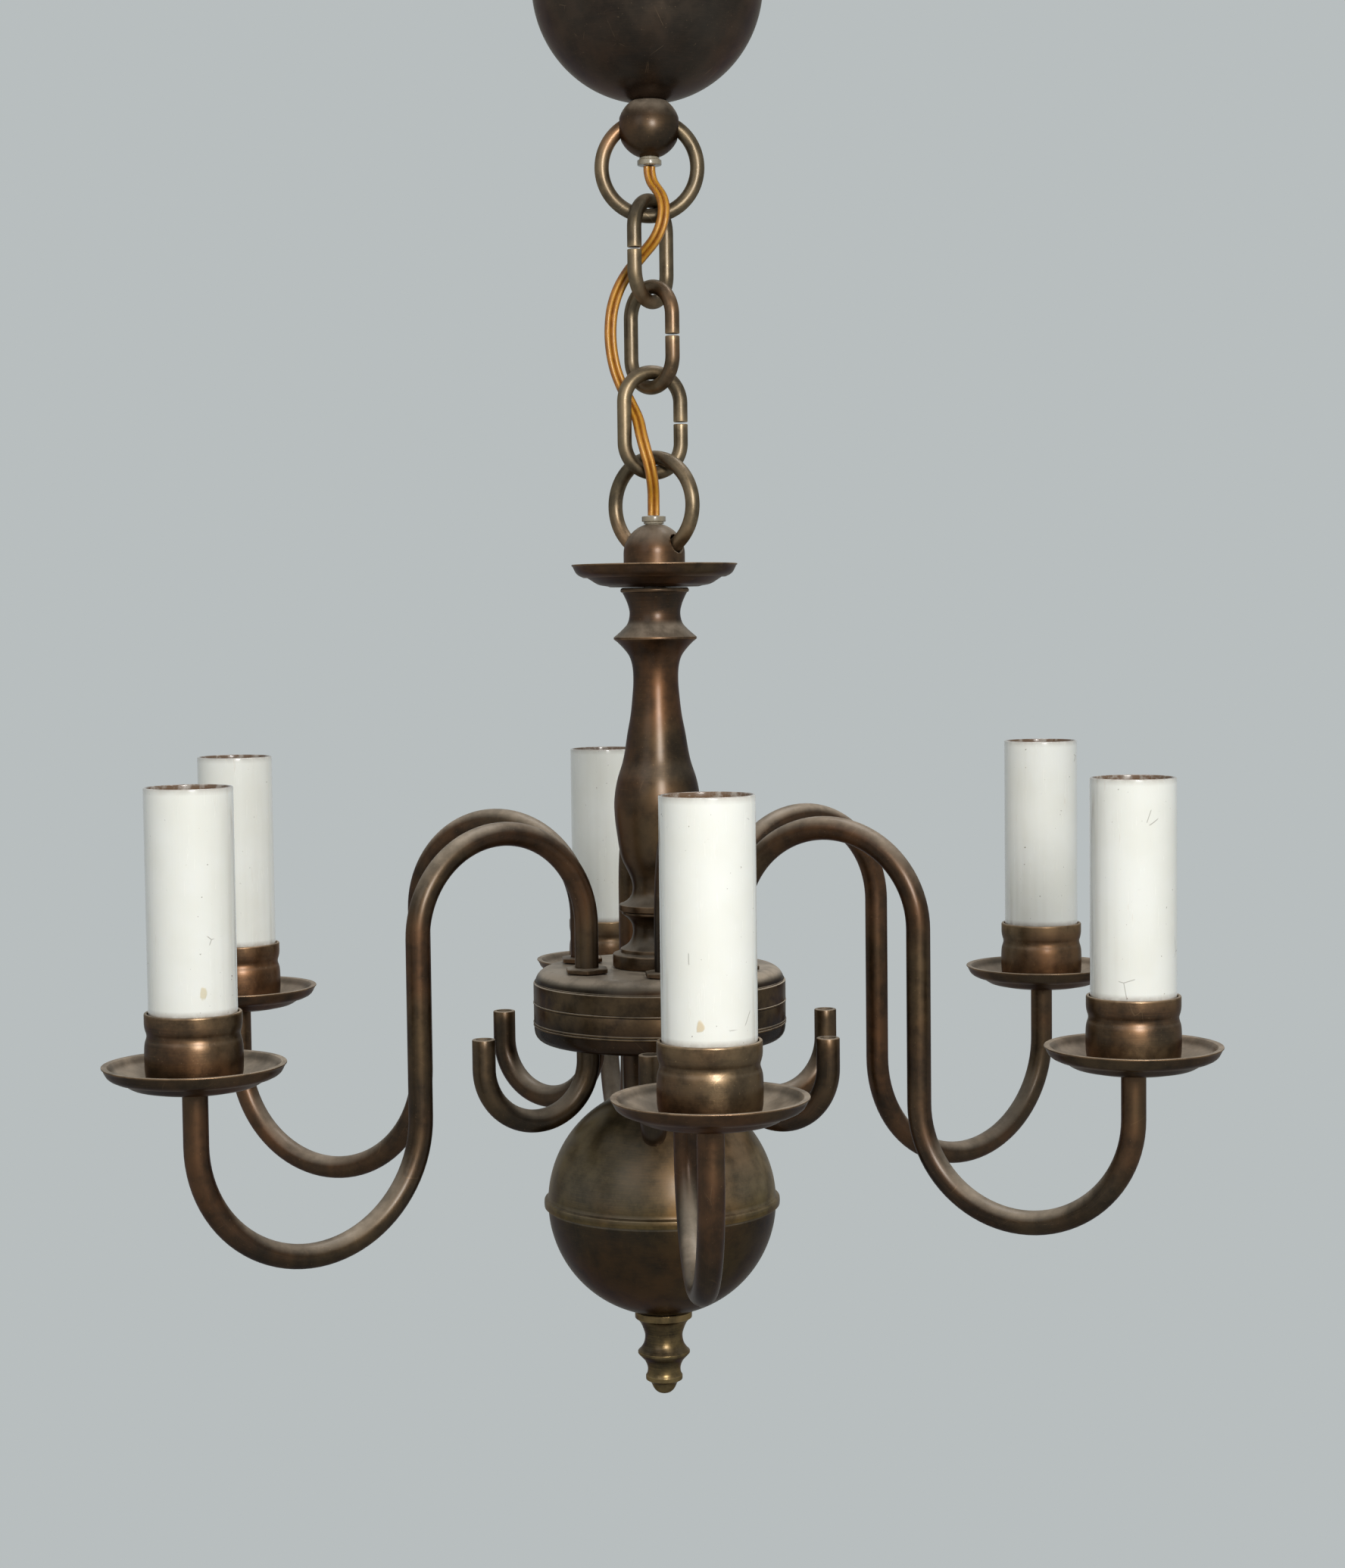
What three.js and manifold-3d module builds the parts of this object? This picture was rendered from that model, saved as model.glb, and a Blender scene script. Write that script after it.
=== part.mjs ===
// A six-arm brass chandelier with candle sleeves, hanging on a short chain from a ceiling canopy.
// Millimetres, +Z up. The origin is the middle of the ceiling strap's top face, on the ceiling.
// Seen from the front, X points right and Y points away. Arm 1 is at the front and the others
// follow to the right.

import * as THREE from "three";
import { mergeVertices } from "three/addons/utils/BufferGeometryUtils.js";
import Module from "manifold-3d";

const wasm = await Module();
wasm.setup();

// Fits and stock
const SEAT_GAP = 0.3; // between two pieces that rest on each other
const SLIP_GAP = 0.4; // all round a piece that slides or turns in a hole
const SHEET = 1; // spun brass sheet
const OVERCUT = 1; // how far a cutter reaches past what it cuts

// Ceiling strap with its threaded boss
const STRAP_LENGTH = 74;
const STRAP_WIDTH = 16;
const STRAP_THICKNESS = 2.2;
const STRAP_HOLE_SPACING = 54;
const STRAP_HOLE_RADIUS = 2.4;
const BOSS_RADIUS = 8.5;
const BOSS_LENGTH = 11;
const BOSS_THREAD_DEPTH = 8;

// Canopy and its lock nut
const CANOPY_SHADOW_GAP = 0.5; // rim to ceiling
const CANOPY_RADIUS = 46.5;
const CANOPY_SKIRT = 7.1; // straight rim above the bowl
const CANOPY_LAND_RADIUS = 8; // flat bottom that the loop bears on
const LOCKNUT_RADIUS = 8.5;
const LOCKNUT_HEIGHT = 4;

// Terminal block under the strap
const BLOCK_SIZE = new THREE.Vector3(24, 14, 11);
const BLOCK_WIRE_RADIUS = 2;
const BLOCK_POLES = 3;
const BLOCK_OFFSET = 24; // from the middle, along the strap

// Ball loops: the upper one under the canopy, the lower one on the column
const LOOP_RADIUS = 12.5;
const LOOP_WALL = 1.6;
const LOOP_SEAT_RADIUS = 7.1;
const LOWER_LOOP_SKIRT = 12; // from the ball's middle down to its base
const LOWER_LOOP_FLOOR = 2.5;
const RING_HOLE_PLAY = 1; // round the ring's wire where it passes through a loop

// Cord bushes in the loops
const BUSH_FLANGE_RADIUS = 4.9;
const BUSH_FLANGE_HEIGHT = 3.1;
const BUSH_BODY_RADIUS = 3.5;
const BUSH_BODY_LENGTH = 4;
const BUSH_BORE_RADIUS = 1.7;

// Threaded tube that clamps the column, and the same thread on the upper loop's stem
const ROD_RADIUS = 5;
const ROD_BORE_RADIUS = 3.4;
const ROD_TOP_REACH = 2.2; // above the lower loop's floor
const WIRE_WINDOW_RADIUS = 2.4; // where the arm wires leave the rod, inside the drum

// Chain: round wire, all loops of the same wire
const WIRE_DIAMETER = 5.8;
const RING_RADIUS = 19.3; // to the wire's middle line
const LINK_LENGTH = 40.5; // between the wire's middle lines
const LINK_HALF_WIDTH = 12.2; // to the wire's middle line, and the end bends' radius
const LINK_CUT = 1; // open seam in one long side
const UPPER_RING_BITE = 3.2; // the ring's top above the middle of the upper ball
const LOWER_RING_BITE = 0.4; // the ring's bottom above the middle of the lower ball
const UPPER_RING_TURN = 0; // degrees about Z from the X axis
const LINK_TURNS = [58, -47, 21];
const LINK_CUT_SIDES = [-1, 1, 1]; // the long side with the seam
const LOWER_RING_TURN = -36;

// Cord: the flat flex as a plain tube, its route from bush to bush through the chain
const CORD_RADIUS = 2.1;
const CORD_LEAD = 2; // straight out of each bush
const CORD_ROUTE = [
  [0.9, -1, -85.7], [4.5, -5.1, -92.1], [5.5, -7.3, -97], [4.8, -8.3, -102.9],
  [2.1, -7, -109.1], [-4, -2.2, -116], [-9, 1.4, -121.5], [-13, 3.2, -128],
  [-15.6, 3.8, -135.5], [-16.6, 3.8, -143.5], [-16.4, 3.8, -151.5], [-14.9, 3.8, -160],
  [-12.2, 3.4, -167.5], [-8.8, 1.6, -174.5], [-6, -1.8, -181], [-4.6, -5.8, -187.5],
  [-3, -7.9, -194], [-1.5, -7.7, -199.8], [-0.5, -5.9, -205], [0, -2.1, -210.8],
  [0, -0.6, -214.5],
];

// Stamped dish: one on the column and one under each candle
const DISH_RIM_RADIUS = 33.8;
const DISH_DEPTH = 9.3;
const DISH_FLOOR_RADIUS = 19;
const DISH_STEP_RADIUS = 28.9; // a small step half way up the outside
const DISH_STEP_WIDTH = 1.9;
const DISH_STEP_HEIGHT = 3.7;
const DISH_SHOULDER = new THREE.Vector2(32.3, 6.6); // radius and height where the wall turns up

// Turned baluster
const BALUSTER_HEIGHT = 131.9;
const BALUSTER_COLLAR_RADIUS = 13.9;
const BALUSTER_WAIST_RADIUS = 10.3;
const BALUSTER_RIDGE_RADIUS = 16.9;
const BALUSTER_NECK_RADIUS = 9.2;
const BALUSTER_BELLY_RADIUS = 17.6;
const BALUSTER_ANKLE_RADIUS = 10.5;
const BALUSTER_RING_RADIUS = 16.2;
const BALUSTER_WALL = 3; // round the cored belly

// Turned foot between the baluster and the drum
const FOOT_HEIGHT = 22.7;
const FOOT_TOP_RADIUS = 15.2;
const FOOT_WAIST_RADIUS = 10.6;
const FOOT_SHOULDER_RADIUS = 15.8;
const FOOT_FLANGE_RADIUS = 19;
const FOOT_FLANGE_HEIGHT = 5.6;

// Drum: a cover over a base, with the wire joints inside
const DRUM_RADIUS = 51.8;
const DRUM_HEIGHT = 29.7;
const DRUM_BASE_HEIGHT = 7.3; // up to the seam
const DRUM_SHEET = 1.2;
const DRUM_TOP_FILLET = 6;
const DRUM_BASE_FILLET = 4;

// Stem and lower ball, in two halves that meet at a bead
const STEM_RADIUS = 15.6;
const STEM_WALL = 1.2;
const STEM_LENGTH = 22.1;
const BALL_RADIUS = 47;
const BALL_SHEET = 1.2;
const BEAD_RADIUS = 48.6;
const BEAD_HEIGHT = 3.4; // all of it on the upper half, over the seam

// Turned finial
const FINIAL_HEIGHT = 34.1;
const FINIAL_FLANGE_RADIUS = 11.8;
const FINIAL_NECK_RADIUS = 7.9;
const FINIAL_RIDGE_RADIUS = 10.8;
const FINIAL_WAIST_RADIUS = 7;
const FINIAL_TIP_RADIUS = 5.2;
const FINIAL_THREAD_DEPTH = 15;

// Arms: bent tube up out of the drum, over an arch, down, round a bowl and up to the candle
const ARM_COUNT = 6;
const FIRST_ARM_TURN = 4.4; // degrees from straight ahead, to the right
const ARM_SEAT_RADIUS = 35.5; // of the legs' circle on the drum
const ARM_TUBE_RADIUS = 4.75;
const ARM_BORE_RADIUS = 3.2;
const ARM_LEG = 19.7; // above the drum
const ARM_ARCH_RADIUS = 39;
const ARM_DROP = 68.9;
const ARM_BOWL_RADIUS = 46;
const ARM_RISE = 20.8;
const ARM_THREAD_RADIUS = 4.2; // reduced end that carries the candle
const ARM_FLANGE_RADIUS = 9.3; // of its six corners
const ARM_FLANGE_HEIGHT = 2.2;
const ARM_NUT_RADIUS = 7.6;
const ARM_NUT_HEIGHT = 3;
const ARM_STUB = 1.5; // of the leg's end, under its nut
// How handling has bent each arm: turned in its seat (degrees), reaching out and lifted (mm)
const ARM_BENDS = [
  { turn: 0, reach: -0.5, lift: 1 },
  { turn: -1.5, reach: -5, lift: -2 },
  { turn: -1.3, reach: 2.5, lift: 2.5 },
  { turn: 3, reach: 0, lift: -3 },
  { turn: 0, reach: 0.5, lift: 1 },
  { turn: 0.2, reach: 3, lift: 0.5 },
];

// Candle: cup, lampholder and sleeve on each arm
const CUP_HEIGHT = 27.2;
const CUP_RIM_RADIUS = 17.9;
const CUP_RIM_HEIGHT = 6.6;
const CUP_GROOVE_RADIUS = 17.3;
const CUP_BULGE_RADIUS = 17.9;
const CUP_FLOOR_RADIUS = 14.6;
const CUP_BULGE_BOTTOM = 4.6;
const CUP_BULGE_TOP = 15.2;
const CUP_LEDGE_DEPTH = 18.3; // below the rim, where the sleeve stands
const CUP_LEDGE_WIDTH = 2.6;
const SLEEVE_RADIUS = 16.3;
const SLEEVE_WALL = 1.1;
const SLEEVE_LENGTH = 100.6;
const HOLDER_TOP_INSET = 5; // below the sleeve's top
const HOLDER_RADIUS = 12.8;
const HOLDER_BODY_HEIGHT = 50;
const HOLDER_SOCKET_RADIUS = 7.6;
const HOLDER_SOCKET_DEPTH = 30;
const HOLDER_PILLAR_RADIUS = 7;
const HOLDER_THREAD_DEPTH = 10;
const ARM_THREAD_REACH = 8; // into the lampholder

// Scroll hooks under the drum
const HOOK_COUNT = 6;
const FIRST_HOOK_TURN = -3;
const HOOK_SEAT_RADIUS = 33;
const HOOK_TUBE_RADIUS = 4.65;
const HOOK_BORE_RADIUS = 3.5;
const HOOK_BEND_RADIUS = 23;
const HOOK_DROP = 6; // under the drum, down to the bend
const HOOK_RISE = 12; // from the bend up to the open end
const HOOK_COLLAR_RADIUS = 7;
const HOOK_COLLAR_HEIGHT = 2;
const HOOK_STUB = 1.5; // through the drum's base

// Facets
const DRUM_SIDES = 24; // the drum, the ball and the canopy
const DISH_SIDES = 20;
const TURNED_SIDES = 16;
const SMALL_SIDES = 10;
const HOLDER_SIDES = 8;
const TUBE_SIDES = 8;
const BORE_SIDES = 6;
const RING_STEPS = 18;
const ARM_STEPS = 4; // stations on a quarter bend
const HOOK_STEPS = 3;

// Finishes
const BRONZE = { color: 0x4a3525, roughness: 0.42, metalness: 0.9 };
const DARK_BRONZE = { color: 0x35261b, roughness: 0.4, metalness: 0.9 };
const STEEL = { color: 0x9a9a96, roughness: 0.45, metalness: 0.9 };
const IVORY = { color: 0xeeeadb, roughness: 0.35, metalness: 0 };
const BAKELITE = { color: 0x2a2420, roughness: 0.5, metalness: 0 };
const CLEAR_PLASTIC = { color: 0xc9c0a4, roughness: 0.3, metalness: 0 };
const AMBER_FLEX = { color: 0xb06a1c, roughness: 0.3, metalness: 0 };

// Heights, from the ceiling down
const wireRadius = WIRE_DIAMETER / 2;
const contactPitch = WIRE_DIAMETER + SEAT_GAP;
const rodHoleRadius = ROD_RADIUS + SLIP_GAP;
const strapUndersideZ = -STRAP_THICKNESS;
const bossBottomZ = strapUndersideZ - BOSS_LENGTH;
const stemTopZ = bossBottomZ + BOSS_THREAD_DEPTH - SEAT_GAP;
const canopyRimZ = -CANOPY_SHADOW_GAP;
const canopyMiddleZ = canopyRimZ - CANOPY_SKIRT;
const canopyBottomZ = canopyMiddleZ - heightOnBall(CANOPY_RADIUS, CANOPY_LAND_RADIUS);
const loopSeatZ = canopyBottomZ - SEAT_GAP;
const upperLoopZ = loopSeatZ - heightOnBall(LOOP_RADIUS, LOOP_SEAT_RADIUS);
const upperRingZ = upperLoopZ + UPPER_RING_BITE - RING_RADIUS;
const linkTopZ = [];
for (const [index] of LINK_TURNS.entries()) {
  const above = index === 0 ? upperRingZ - RING_RADIUS : linkTopZ[index - 1] - LINK_LENGTH;
  linkTopZ.push(above + contactPitch);
}
const lowerRingZ = linkTopZ.at(-1) - LINK_LENGTH + contactPitch - RING_RADIUS;
const lowerLoopZ = lowerRingZ - RING_RADIUS - LOWER_RING_BITE;
const bushHoleRadius = BUSH_BODY_RADIUS + SLIP_GAP;
const bushSeatDrop = heightOnBall(LOOP_RADIUS, bushHoleRadius) + SEAT_GAP;
const lowerLoopBaseZ = lowerLoopZ - LOWER_LOOP_SKIRT;
const topDishFloorZ = lowerLoopBaseZ - SEAT_GAP;
const topDishUndersideZ = topDishFloorZ - SHEET;
const balusterTopZ = topDishUndersideZ - SEAT_GAP;
const balusterBottomZ = balusterTopZ - BALUSTER_HEIGHT;
const footTopZ = balusterBottomZ - SEAT_GAP;
const footBottomZ = footTopZ - FOOT_HEIGHT;
const drumTopZ = footBottomZ - SEAT_GAP;
const drumBottomZ = drumTopZ - DRUM_HEIGHT;
const drumSeamZ = drumBottomZ + DRUM_BASE_HEIGHT;
const stemTubeTopZ = drumBottomZ - SEAT_GAP;
const stemTubeBottomZ = stemTubeTopZ - STEM_LENGTH;
const ballSeatHeight = heightOnBall(BALL_RADIUS, STEM_RADIUS - STEM_WALL);
const ballZ = stemTubeBottomZ - SEAT_GAP - ballSeatHeight;
const finialTopZ = ballZ - heightOnBall(BALL_RADIUS, rodHoleRadius) - SEAT_GAP;
const rodTopZ = lowerLoopBaseZ + LOWER_LOOP_FLOOR + ROD_TOP_REACH;
const rodBottomZ = finialTopZ - FINIAL_THREAD_DEPTH + SEAT_GAP;

// The height over a ball's middle at which its surface has the given radius.
function heightOnBall(ballRadius, radius) {
  return Math.sqrt(ballRadius ** 2 - radius ** 2);
}

// Solids and meshes

function solidOf(geometry) {
  const bare = geometry.index ? geometry.toNonIndexed() : geometry.clone();
  bare.deleteAttribute("normal");
  bare.deleteAttribute("uv");
  const merged = mergeVertices(bare, 1e-4);
  const corners = merged.index.array;
  const kept = [];
  for (let i = 0; i < corners.length; i += 3) {
    const [a, b, c] = [corners[i], corners[i + 1], corners[i + 2]];
    if (a !== b && b !== c && c !== a) kept.push(a, b, c);
  }
  const mesh = new wasm.Mesh({
    numProp: 3,
    vertProperties: new Float32Array(merged.attributes.position.array),
    triVerts: new Uint32Array(kept),
  });
  return new wasm.Manifold(mesh);
}

function geometryOf(solid) {
  const mesh = solid.getMesh();
  const geometry = new THREE.BufferGeometry();
  geometry.setAttribute("position", new THREE.BufferAttribute(mesh.vertProperties, 3));
  geometry.setIndex(new THREE.BufferAttribute(mesh.triVerts, 1));
  geometry.computeVertexNormals();
  return geometry;
}

function combine(base, { add = [], cut = [] }) {
  let solid = solidOf(base);
  for (const piece of add) solid = solid.add(solidOf(piece));
  for (const piece of cut) solid = solid.subtract(solidOf(piece));
  return geometryOf(solid);
}

function named(name, geometry, finish) {
  const mesh = new THREE.Mesh(geometry, new THREE.MeshStandardMaterial(finish));
  mesh.name = name;
  return mesh;
}

// A ring or turned solid about the Z axis; the outline is a list of [radius, z] and may run
// either way round.
function turned(outline, sides = TURNED_SIDES) {
  const points = outline.map(([radius, z]) => new THREE.Vector2(radius, z));
  const area = THREE.ShapeUtils.area(points);
  if (area < 0) points.reverse();
  const onAxis = points[0].x === 0 && points.at(-1).x === 0;
  if (!onAxis) points.push(points[0].clone());
  return new THREE.LatheGeometry(points, sides).rotateX(Math.PI / 2);
}

function disc(radius, bottomZ, topZ, sides) {
  return turned([[0, bottomZ], [radius, bottomZ], [radius, topZ], [0, topZ]], sides);
}

// A cutter whose flats, not its corners, lie at the radius, so a round piece passes through.
function hole(radius, bottomZ, topZ, sides) {
  return disc(radius / Math.cos(Math.PI / sides), bottomZ, topZ, sides);
}

function washer(boreRadius, radius, bottomZ, topZ, sides) {
  const outline = [[boreRadius, bottomZ], [radius, bottomZ], [radius, topZ], [boreRadius, topZ]];
  return turned(outline, sides);
}

// Points of a turned outline from one [radius, z] to the next, both ends left out; ease bends it.
function stretch(from, to, count, ease) {
  const points = [];
  for (let step = 1; step < count; step += 1) {
    const share = step / count;
    const bend = ease(share);
    points.push([from[0] + (to[0] - from[0]) * bend, from[1] + (to[1] - from[1]) * share]);
  }
  return points;
}

const cove = (power) => (share) => 1 - (1 - share) ** power; // leaves fast, ends upright
const flare = (power) => (share) => share ** power; // starts upright, ends fast
const swell = (power) => (share) => (1 - Math.cos(Math.PI * share ** power)) / 2;

// Points of an arc of a turned outline, both ends in; angles in degrees from the +radius side.
function arc([middleR, middleZ], radius, startAngle, endAngle, steps) {
  const points = [];
  for (let step = 0; step <= steps; step += 1) {
    const angle = THREE.MathUtils.degToRad(startAngle + ((endAngle - startAngle) * step) / steps);
    points.push([middleR + radius * Math.cos(angle), middleZ + radius * Math.sin(angle)]);
  }
  return points;
}

function angleOnBall(ballRadius, radius) {
  return THREE.MathUtils.radToDeg(Math.acos(radius / ballRadius));
}

// Bent tubes

// A middle line in the XZ plane made of straight runs and round bends, with its stations where
// they are needed: one to each straight run and more to each bend.
class BentLine extends THREE.Curve {
  constructor(x, z, headingDegrees, quarterSteps) {
    super();
    this.end = new THREE.Vector3(x, 0, z);
    this.heading = THREE.MathUtils.degToRad(headingDegrees);
    this.quarterSteps = quarterSteps;
    this.runs = [];
    this.stations = 0;
  }

  addRun(steps, pointAt, endHeading) {
    this.runs.push({ first: this.stations, steps, pointAt });
    this.stations += steps;
    this.end = pointAt(1);
    this.heading = endHeading;
    return this;
  }

  straight(length) {
    const start = this.end;
    const way = new THREE.Vector3(Math.cos(this.heading), 0, Math.sin(this.heading));
    const pointAt = (share) => start.clone().addScaledVector(way, length * share);
    return this.addRun(1, pointAt, this.heading);
  }

  // Turns left for a positive angle, as seen with X to the right and Z up.
  bend(radius, turnDegrees) {
    const turn = THREE.MathUtils.degToRad(turnDegrees);
    const side = Math.sign(turn);
    const toStart = this.heading - (side * Math.PI) / 2;
    const middle = this.end.clone();
    middle.x -= radius * Math.cos(toStart);
    middle.z -= radius * Math.sin(toStart);
    const pointAt = (share) => {
      const angle = toStart + turn * share;
      const x = middle.x + radius * Math.cos(angle);
      return new THREE.Vector3(x, 0, middle.z + radius * Math.sin(angle));
    };
    const steps = Math.round((this.quarterSteps * Math.abs(turnDegrees)) / 90);
    return this.addRun(steps, pointAt, this.heading + turn);
  }

  getPoint(share, target = new THREE.Vector3()) {
    const station = Math.min(Math.max(share, 0), 1) * this.stations;
    const run = this.runs.findLast(({ first }) => station >= first - 1e-9);
    return target.copy(run.pointAt((station - run.first) / run.steps));
  }

  getUtoTmapping(share) {
    return share;
  }
}

function polygon(radius, sides) {
  const corners = [];
  for (let side = 0; side < sides; side += 1) {
    const angle = (2 * Math.PI * side) / sides;
    corners.push(new THREE.Vector2(radius * Math.cos(angle), radius * Math.sin(angle)));
  }
  return corners;
}

function tubeAlong(line, radius, sides, steps) {
  const section = new THREE.Shape(polygon(radius, sides));
  return new THREE.ExtrudeGeometry(section, { steps, extrudePath: line });
}

// Ceiling fitting

function ceilingStrap() {
  const bar = new THREE.BoxGeometry(STRAP_LENGTH, STRAP_WIDTH, STRAP_THICKNESS);
  bar.translate(0, 0, -STRAP_THICKNESS / 2);
  const boss = disc(BOSS_RADIUS, bossBottomZ, strapUndersideZ + OVERCUT, SMALL_SIDES);
  const threadTopZ = bossBottomZ + BOSS_THREAD_DEPTH;
  const thread = hole(rodHoleRadius, bossBottomZ - OVERCUT, threadTopZ, SMALL_SIDES);
  const screwHoles = [-1, 1].map((side) => {
    const screwHole = hole(STRAP_HOLE_RADIUS, strapUndersideZ - OVERCUT, OVERCUT, TUBE_SIDES);
    return screwHole.translate((side * STRAP_HOLE_SPACING) / 2, 0, 0);
  });
  return named("ceiling_strap", combine(bar, { add: [boss], cut: [thread, ...screwHoles] }), STEEL);
}

function canopyBowl() {
  const middle = [0, canopyMiddleZ];
  const inside = CANOPY_RADIUS - SHEET;
  const landAngle = angleOnBall(CANOPY_RADIUS, CANOPY_LAND_RADIUS);
  const insideLandAngle = angleOnBall(inside, CANOPY_LAND_RADIUS);
  const outline = [
    [CANOPY_RADIUS, canopyRimZ],
    ...arc(middle, CANOPY_RADIUS, 0, -landAngle, 6),
    [rodHoleRadius, canopyBottomZ],
    [rodHoleRadius, canopyBottomZ + SHEET],
    ...arc(middle, inside, -insideLandAngle, 0, 4),
    [inside, canopyRimZ],
  ];
  return named("canopy_bowl", turned(outline, DRUM_SIDES), BRONZE);
}

function canopyLocknut() {
  const insideDepth = heightOnBall(CANOPY_RADIUS - SHEET, LOCKNUT_RADIUS);
  const seatZ = canopyMiddleZ - insideDepth + SEAT_GAP;
  const topZ = seatZ + LOCKNUT_HEIGHT;
  const nut = disc(LOCKNUT_RADIUS, seatZ, topZ, BORE_SIDES);
  const thread = hole(rodHoleRadius, seatZ - OVERCUT, topZ + OVERCUT, SMALL_SIDES);
  return named("canopy_locknut", combine(nut, { cut: [thread] }), STEEL);
}

function terminalBlock() {
  const block = new THREE.BoxGeometry(BLOCK_SIZE.x, BLOCK_SIZE.y, BLOCK_SIZE.z);
  const wireHoles = [];
  for (let pole = 0; pole < BLOCK_POLES; pole += 1) {
    const half = BLOCK_SIZE.y / 2 + OVERCUT;
    const wireHole = hole(BLOCK_WIRE_RADIUS, -half, half, BORE_SIDES).rotateX(Math.PI / 2);
    const place = ((pole + 0.5) / BLOCK_POLES - 0.5) * BLOCK_SIZE.x;
    wireHoles.push(wireHole.translate(place, 0, 0));
  }
  const mesh = named("terminal_block", combine(block, { cut: wireHoles }), IVORY);
  mesh.position.set(BLOCK_OFFSET, 0, strapUndersideZ - SEAT_GAP - BLOCK_SIZE.z / 2);
  return mesh;
}

// Ball loops and cord bushes

function ringCutter(z, turnDegrees) {
  const holeRadius = wireRadius + RING_HOLE_PLAY;
  const cutter = new THREE.TorusGeometry(RING_RADIUS, holeRadius, TUBE_SIDES, RING_STEPS);
  cutter.rotateX(Math.PI / 2).rotateZ(THREE.MathUtils.degToRad(turnDegrees));
  return cutter.translate(0, 0, z);
}

function canopyLoop() {
  const middle = [0, upperLoopZ];
  const inside = LOOP_RADIUS - LOOP_WALL;
  const outline = [
    [ROD_RADIUS, stemTopZ],
    [ROD_RADIUS, loopSeatZ],
    ...arc(
      middle,
      LOOP_RADIUS,
      angleOnBall(LOOP_RADIUS, LOOP_SEAT_RADIUS),
      -angleOnBall(LOOP_RADIUS, bushHoleRadius),
      5,
    ),
    ...arc(
      middle,
      inside,
      -angleOnBall(inside, bushHoleRadius),
      angleOnBall(inside, ROD_BORE_RADIUS),
      4,
    ),
    [ROD_BORE_RADIUS, stemTopZ],
  ];
  const body = turned(outline);
  const cut = [ringCutter(upperRingZ, UPPER_RING_TURN)];
  return named("canopy_loop", combine(body, { cut }), BRONZE);
}

function columnLoop() {
  const middle = [0, lowerLoopZ];
  const inside = LOOP_RADIUS - LOOP_WALL;
  const floorZ = lowerLoopBaseZ + LOWER_LOOP_FLOOR;
  const outline = [
    [rodHoleRadius, lowerLoopBaseZ],
    [LOOP_RADIUS, lowerLoopBaseZ],
    ...arc(middle, LOOP_RADIUS, 0, angleOnBall(LOOP_RADIUS, bushHoleRadius), 4),
    ...arc(middle, inside, angleOnBall(inside, bushHoleRadius), 0, 3),
    [inside, floorZ],
    [rodHoleRadius, floorZ],
  ];
  const body = turned(outline);
  const cut = [ringCutter(lowerRingZ, LOWER_RING_TURN)];
  return named("column_loop", combine(body, { cut }), BRONZE);
}

// A flanged bush; side is +1 with the flange on top and -1 with it underneath.
function cordBush(name, ballZ, side) {
  const flangeZ = bushSeatDrop;
  const outline = [
    [BUSH_BORE_RADIUS, flangeZ - BUSH_BODY_LENGTH],
    [BUSH_BODY_RADIUS, flangeZ - BUSH_BODY_LENGTH],
    [BUSH_BODY_RADIUS, flangeZ],
    [BUSH_FLANGE_RADIUS, flangeZ],
    [BUSH_FLANGE_RADIUS, flangeZ + BUSH_FLANGE_HEIGHT],
    [BUSH_BORE_RADIUS, flangeZ + BUSH_FLANGE_HEIGHT],
  ];
  const mesh = named(name, turned(outline, SMALL_SIDES), CLEAR_PLASTIC);
  mesh.position.z = ballZ;
  if (side < 0) mesh.rotation.x = Math.PI;
  return mesh;
}

// Chain and cord

function chainRing(name, z, turnDegrees) {
  const ring = new THREE.TorusGeometry(RING_RADIUS, wireRadius, TUBE_SIDES, RING_STEPS);
  const mesh = named(name, ring.rotateX(Math.PI / 2), DARK_BRONZE);
  mesh.position.z = z;
  mesh.rotation.z = THREE.MathUtils.degToRad(turnDegrees);
  return mesh;
}

function chainLink(index) {
  const straightSide = LINK_LENGTH - 2 * LINK_HALF_WIDTH;
  const halfSide = (straightSide - LINK_CUT) / 2;
  const line = new BentLine(LINK_HALF_WIDTH, LINK_CUT / 2, 90, ARM_STEPS);
  line.straight(halfSide).bend(LINK_HALF_WIDTH, 180).straight(straightSide);
  line.bend(LINK_HALF_WIDTH, 180).straight(halfSide);
  const wire = tubeAlong(line, wireRadius, TUBE_SIDES, line.stations);
  const mesh = named(`chain_link_${index + 1}`, wire, DARK_BRONZE);
  mesh.position.z = linkTopZ[index] - LINK_LENGTH / 2;
  const turn = LINK_TURNS[index] + (LINK_CUT_SIDES[index] < 0 ? 180 : 0);
  mesh.rotation.z = THREE.MathUtils.degToRad(turn);
  return mesh;
}

function supplyCord() {
  const bushReach = bushSeatDrop + BUSH_FLANGE_HEIGHT + SEAT_GAP;
  const startZ = upperLoopZ - bushReach;
  const endZ = lowerLoopZ + bushReach;
  const stops = [[0, 0, startZ], [0, 0, startZ - CORD_LEAD], ...CORD_ROUTE];
  stops.push([0, 0, endZ + CORD_LEAD], [0, 0, endZ]);
  const route = new THREE.CatmullRomCurve3(stops.map((stop) => new THREE.Vector3(...stop)));
  const steps = CORD_ROUTE.length;
  return named("supply_cord", tubeAlong(route, CORD_RADIUS, TUBE_SIDES, steps), AMBER_FLEX);
}

// Column

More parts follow.
